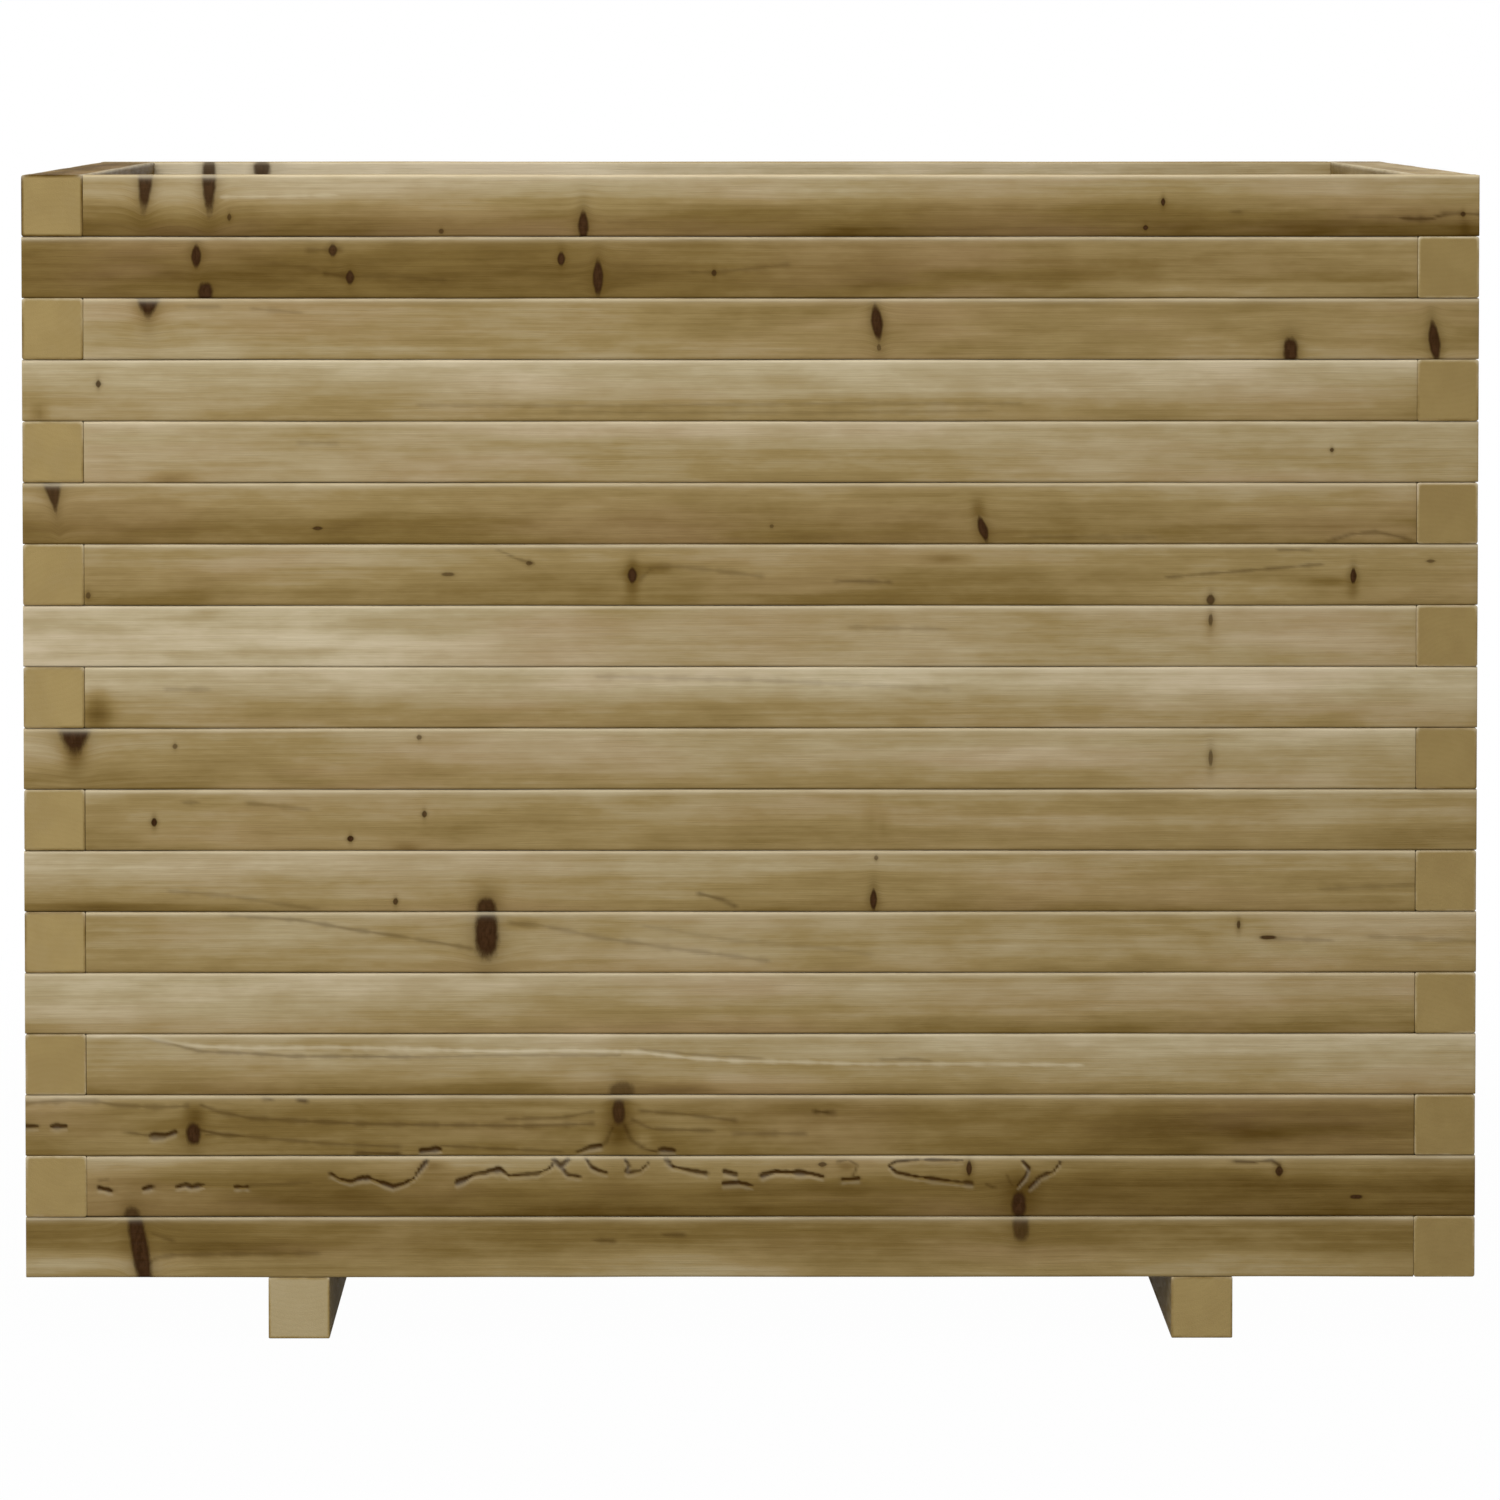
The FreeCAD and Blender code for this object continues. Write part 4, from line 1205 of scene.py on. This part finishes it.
class PLANTER_OT_back_timbers(bpy.types.Operator):
    """Make the back wall's timbers"""

    bl_idname = "planter.back_timbers"
    bl_label = "Back timbers"

    def execute(self, context):
        hidden_timbers(context, "back", "back_beam")
        return {"FINISHED"}


class PLANTER_OT_side_timbers(bpy.types.Operator):
    """Make the left and right walls' timbers, whose ends show at the front's edges"""

    bl_idname = "planter.side_timbers"
    bl_label = "Left and right timbers"

    def execute(self, context):
        for side in ("left", "right"):
            hidden_timbers(context, side, "side_beams")
        return {"FINISHED"}


class PLANTER_OT_runners(bpy.types.Operator):
    """Make the two runners that the planter stands on"""

    bl_idname = "planter.runners"
    bl_label = "Runners"

    def execute(self, context):
        sizes = context.scene.planter_sizes
        material = pine_material("runner_pine", context.scene.planter_colours, level=0.545)
        for index, (side, out) in enumerate((("left", (-1, 0, 0)), ("right", (1, 0, 0)))):
            low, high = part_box(f"{side}_runner")
            rng = np.random.default_rng(SEEDS["runner"] + index)
            length = high[1] - low[1]
            knots = random_knots(length, 4, rng)
            alongs = runner_screw_stations(length, sizes)
            near = close_to_knots(knots, sizes.knot_step) + close_to_hollows(alongs)
            bar = Bar(low, high, out, sizes.runner_radius, sizes.end_ease, *MESH["runner"],
                      stations(length, sizes.coarse_step, sizes.end_ease, near), {3: (0.0,)})
            wood = Wood(bar, rng)
            mark_plain(wood, knots, rng.uniform(*BASE_LEVELS))
            wood.tone = np.where(bar.cap, RUNNER_END_LEVELS[side], wood.tone)
            screws = [(along, 0.0) for along in alongs]
            wood.screw_hollows(screws, False, TIMBER_SCREW.head, sizes.hollow_depth)
            finish_bar(f"{side}_runner_timber", wood, material, f"{side}_runner")
        return {"FINISHED"}


class PLANTER_OT_floor_slats(bpy.types.Operator):
    """Make the floor slats across the runners"""

    bl_idname = "planter.floor_slats"
    bl_label = "Floor slats"

    def execute(self, context):
        sizes = context.scene.planter_sizes
        material = pine_material("slat_pine", context.scene.planter_colours, level=0.59, ring_depth=0.05)
        half = sizes.floor_screw_spacing / 2
        for index, (low, high) in enumerate(slat_boxes(sizes)):
            rng = np.random.default_rng(SEEDS["slat"] + index)
            length = high[0] - low[0]
            knots = random_knots(length, 3, rng)
            alongs = [length / 2 + side * RUNNER_X for side in (-1, 1)]
            near = close_to_knots(knots, sizes.knot_step) + close_to_hollows(alongs)
            bar = Bar(low, high, (0, -1, 0), sizes.slat_bevel, sizes.end_ease, *MESH["slat"],
                      stations(length, sizes.coarse_step, sizes.end_ease, near), {1: (-half, half)})
            wood = Wood(bar, rng)
            mark_plain(wood, knots, rng.uniform(*BASE_LEVELS))
            screws = [(along, across) for along in alongs for across in (-half, half)]
            wood.screw_hollows(screws, True, FLOOR_SCREW.head, sizes.hollow_depth)
            finish_bar(f"floor_slat_{index + 1}", wood, material, "floor_slats")
        return {"FINISHED"}


def screw_rings(screw, detailed):
    """(radius, depth, lobe) from the middle of a screw's head to its point.

    The head is flat, with a recess of six lobes in a detailed screw, and a cone under it.
    """
    under_head = screw.sink + screw.head - screw.shank
    rings = [(screw.head, screw.sink + 0.1 * MM, 0), (screw.shank, under_head, 0),
             (screw.shank, screw.length - screw.point, 0)]
    if detailed:
        floor = screw.sink + RECESS_DEPTH
        recess = [(0.36, floor, 1), (0.44, floor - 0.1 * MM, 1), (0.47, screw.sink + 0.1 * MM, 1),
                  (0.52, screw.sink, 1), (0.70, screw.sink, 0), (0.96, screw.sink, 0)]
        rings = [(share * screw.head, depth, lobe) for share, depth, lobe in recess] + rings
    return rings


def screw_mesh(name, screw, places, sides, detailed):
    """Screws in one mesh: each is a profile of rings turned about the screw's line.

    A place is (x, y, z, way), where way is 1 for a screw driven downwards and -1 for one driven
    upwards. A point is place + r (cos t, sin t way) - way depth, and r is the ring's radius times
    (1 + share cos 6 t) in the lobed recess. A point closes each end.
    """
    columns = zip(*screw_rings(screw, detailed))
    radius, depth, lobe = (np.array(column, float)[:, None] for column in columns)
    turn = np.arange(sides) * 2 * math.pi / sides
    around = radius * (1 + LOBE_SHARE * lobe * np.cos(6 * turn))
    base = np.array(places)[:, None, None, :]
    way = base[..., 3]
    points = np.stack((base[..., 0] + around * np.cos(turn), base[..., 1] + around * np.sin(turn) * way,
                       base[..., 2] - way * depth + 0 * around), -1)
    count, rings = len(points), len(radius)
    tips = [base[:, 0, 0, :3] - UP * way[:, 0] * tip for tip in (depth[0, 0], screw.length)]
    points = np.concatenate((points.reshape(count, -1, 3), np.stack(tips, 1)), 1)
    ring, step = np.meshgrid(np.arange(rings - 1), np.arange(sides), indexing="ij")
    ahead = (step + 1) % sides
    squares = np.stack((ring * sides + step, (ring + 1) * sides + step,
                        (ring + 1) * sides + ahead, ring * sides + ahead), -1).reshape(-1, 4)
    step = np.arange(sides)
    ahead = (step + 1) % sides
    last = (rings - 1) * sides
    head = np.stack((np.full(sides, rings * sides), step, ahead), -1)
    point = np.stack((last + step, np.full(sides, rings * sides + 1), last + ahead), -1)
    offset = np.arange(count)[:, None, None] * (rings * sides + 2)
    mesh = mesh_from(name, points.reshape(-1, 3), (squares + offset).reshape(-1, 4),
                     (np.concatenate((head, point)) + offset).reshape(-1, 3))
    mesh.set_sharp_from_angle(angle=math.radians(35))
    return mesh


def course_screws(number, from_end, ends=(-1, 1), upper=True):
    """Where one course's screws go in, on the centre lines of its timbers' upper or lower faces."""
    places = []
    for low, high, out in course_boxes(number).values():
        low, high = np.array(low), np.array(high)
        along = np.cross(out, UP)
        half = abs(float(along @ (high - low))) / 2 - from_end
        middle = (low + high) / 2
        height, way = (high[2], 1.0) if upper else (low[2], -1.0)
        places += [(*(middle + end * half * along)[:2], height, way) for end in ends]
    return places


class PLANTER_OT_screws(bpy.types.Operator):
    """Make the screws: those of the walls, of the runners and of the floor"""

    bl_idname = "planter.screws"
    bl_label = "Screws"

    def execute(self, context):
        sizes = context.scene.planter_sizes
        steel = steel_material(context.scene.planter_colours)
        hidden = [place for number in range(2, COURSES)
                  for place in course_screws(number, sizes.screw_from_end)]
        runner_length = BODY_HIGH[1] - BODY_LOW[1]
        runner = [(x, BODY_LOW[1] + along, BODY_LOW[2], -1.0) for x in (-RUNNER_X, RUNNER_X)
                  for along in runner_screw_stations(runner_length, sizes)]
        half = sizes.floor_screw_spacing / 2
        floor = [(x, (low[1] + high[1]) / 2 + across, high[2], 1.0) for low, high in slat_boxes(sizes)
                 for x in (-RUNNER_X, RUNNER_X) for across in (-half, half)]
        sets = (
            ("rim_screws", "wall_screws", TIMBER_SCREW, course_screws(COURSES, sizes.screw_from_end), True),
            ("wall_screws_inside", "wall_screws", TIMBER_SCREW, hidden, False),
            ("wall_screws_below", "wall_screws", TIMBER_SCREW,
             course_screws(1, sizes.screw_from_end, (-1,), False), True),
            ("runner_screw_set", "runner_screws", TIMBER_SCREW, runner, True),
            ("floor_screw_set", "floor_screws", FLOOR_SCREW, floor, True),
        )
        for name, node, screw, places, detailed in sets:
            sides = SHOWN_SIDES if detailed else INSIDE_SIDES
            mesh = screw_mesh(name, screw, places, sides, detailed)
            add_piece(name, mesh, steel, node, slot="screw_steel")
        return {"FINISHED"}


# Each soft lamp: the setting with its power, its place, the point it looks at and its side, in metres
LAMPS = {
    "top_lamp": ("top_watts", (-0.6, -0.8, 3.2), (0, 0, 0.5), 2.6),
    "front_lamp": ("front_watts", (-1.4, -4.2, 1.6), (0, -0.4, 0.4), 2.2),
    "back_lamp": ("back_watts", (1.6, 4.2, 1.2), (0, 0.4, 0.3), 2.2),
}
# Grey of the floor in the planter's light, and metres from the middle over which it turns white
FLOOR_GREY, FLOOR_WHITE_FROM, FLOOR_WHITE_AT = 0.32, 0.9, 2.4


def soft_lamp(name, place, aim, size, watts):
    """A square area lamp of the given size that looks from its place at a point."""
    data = bpy.data.lights.new(name, "AREA")
    data.shape, data.size, data.energy = "SQUARE", size, watts
    lamp = bpy.data.objects.new(name, data)
    bpy.context.scene.collection.objects.link(lamp)
    lamp.location = place
    lamp.rotation_euler = (Vector(aim) - Vector(place)).to_track_quat("-Z", "Y").to_euler()


def plain_white_rays(tree):
    """1 for the rays that see the background itself: from the camera, a gloss or a glass."""
    n = Nodes(tree)
    path = tree.nodes.new("ShaderNodeLightPath")
    either = n.math("MAXIMUM", path.outputs["Is Camera Ray"], path.outputs["Is Glossy Ray"])
    return n.math("MAXIMUM", either, path.outputs["Is Transmission Ray"])


class PLANTER_OT_stage(bpy.types.Operator):
    """Make the camera, the pale floor, the lamps and the room's even light"""

    bl_idname = "planter.stage"
    bl_label = "Studio"

    def execute(self, context):
        studio, scene = context.scene.planter_studio, context.scene
        data = bpy.data.cameras.new("studio_camera")
        data.sensor_width, data.lens = 36.0, studio.lens
        camera = bpy.data.objects.new("studio_camera", data)
        scene.collection.objects.link(camera)
        camera.location = studio.camera_place
        towards = Vector(studio.camera_aim) - Vector(studio.camera_place)
        camera.rotation_euler = towards.to_track_quat("-Z", "Y").to_euler()
        scene.camera = camera
        scene.view_settings.view_transform = "Standard"

        half = studio.floor_size / 2
        mesh = bpy.data.meshes.new("studio_floor")
        mesh.from_pydata([(-half, -half, 0), (half, -half, 0), (half, half, 0), (-half, half, 0)],
                         [], [(0, 1, 2, 3)])
        floor = bpy.data.objects.new("studio_floor", mesh)
        scene.collection.objects.link(floor)
        material = bpy.data.materials.new("studio_floor")
        material.use_nodes = True
        tree = material.node_tree
        n = Nodes(tree)
        tree.nodes.remove(tree.nodes["Principled BSDF"])
        matt = tree.nodes.new("ShaderNodeBsdfDiffuse")
        matt.inputs["Color"].default_value = (FLOOR_GREY, FLOOR_GREY, FLOOR_GREY, 1.0)
        glow = tree.nodes.new("ShaderNodeEmission")
        blend = tree.nodes.new("ShaderNodeMixShader")
        place = tree.nodes.new("ShaderNodeTexCoord").outputs["Object"]
        away = tree.nodes.new("ShaderNodeVectorMath")
        away.operation = "LENGTH"
        n.put(away.inputs[0], place)
        away = away.outputs["Value"]
        white = n.between(away, FLOOR_WHITE_FROM, FLOOR_WHITE_AT, studio.floor_white, 1.0)
        n.put(blend.inputs[0], n.math("MULTIPLY", plain_white_rays(tree), white))
        n.put(blend.inputs[1], matt.outputs[0])
        n.put(blend.inputs[2], glow.outputs[0])
        n.put(tree.nodes["Material Output"].inputs["Surface"], blend.outputs[0])
        mesh.materials.append(material)

        world = bpy.data.worlds.new("studio_room")
        scene.world = world
        world.use_nodes = True
        tree = world.node_tree
        n = Nodes(tree)
        back = tree.nodes["Background"]
        back.inputs["Color"].default_value = (1.0, 1.0, 1.0, 1.0)
        n.put(back.inputs["Strength"], n.between(plain_white_rays(tree), 0.0, 1.0, studio.world_level, 1.0))

        for name, (power, place, aim, side) in LAMPS.items():
            soft_lamp(name, place, aim, side, getattr(studio, power))
        return {"FINISHED"}


PIECE_OPERATORS = (
    PLANTER_OT_stage,
    PLANTER_OT_front_timbers,
    PLANTER_OT_back_timbers,
    PLANTER_OT_side_timbers,
    PLANTER_OT_runners,
    PLANTER_OT_floor_slats,
    PLANTER_OT_screws,
)


class PLANTER_PT_sidebar(bpy.types.Panel):
    """Lists the planter's pieces"""

    bl_idname = "PLANTER_PT_sidebar"
    bl_label = "Timber planter"
    bl_space_type = "VIEW_3D"
    bl_region_type = "UI"
    bl_category = "Planter"

    def draw(self, context):
        for operator in PIECE_OPERATORS:
            self.layout.operator(operator.bl_idname)


CLASSES = (PlanterSizes, PlanterColours, StudioSettings, *PIECE_OPERATORS, PLANTER_PT_sidebar)


def register():
    for cls in CLASSES:
        bpy.utils.register_class(cls)
    bpy.types.Scene.planter_sizes = PointerProperty(type=PlanterSizes)
    bpy.types.Scene.planter_colours = PointerProperty(type=PlanterColours)
    bpy.types.Scene.planter_studio = PointerProperty(type=StudioSettings)


def unregister():
    del bpy.types.Scene.planter_studio
    del bpy.types.Scene.planter_colours
    del bpy.types.Scene.planter_sizes
    for cls in reversed(CLASSES):
        bpy.utils.unregister_class(cls)


def make_planter():
    """Makes everything in order."""
    register()
    for operator in PIECE_OPERATORS:
        group, name = operator.bl_idname.split(".")
        getattr(getattr(bpy.ops, group), name)()


if __name__ == "__main__":
    make_planter()
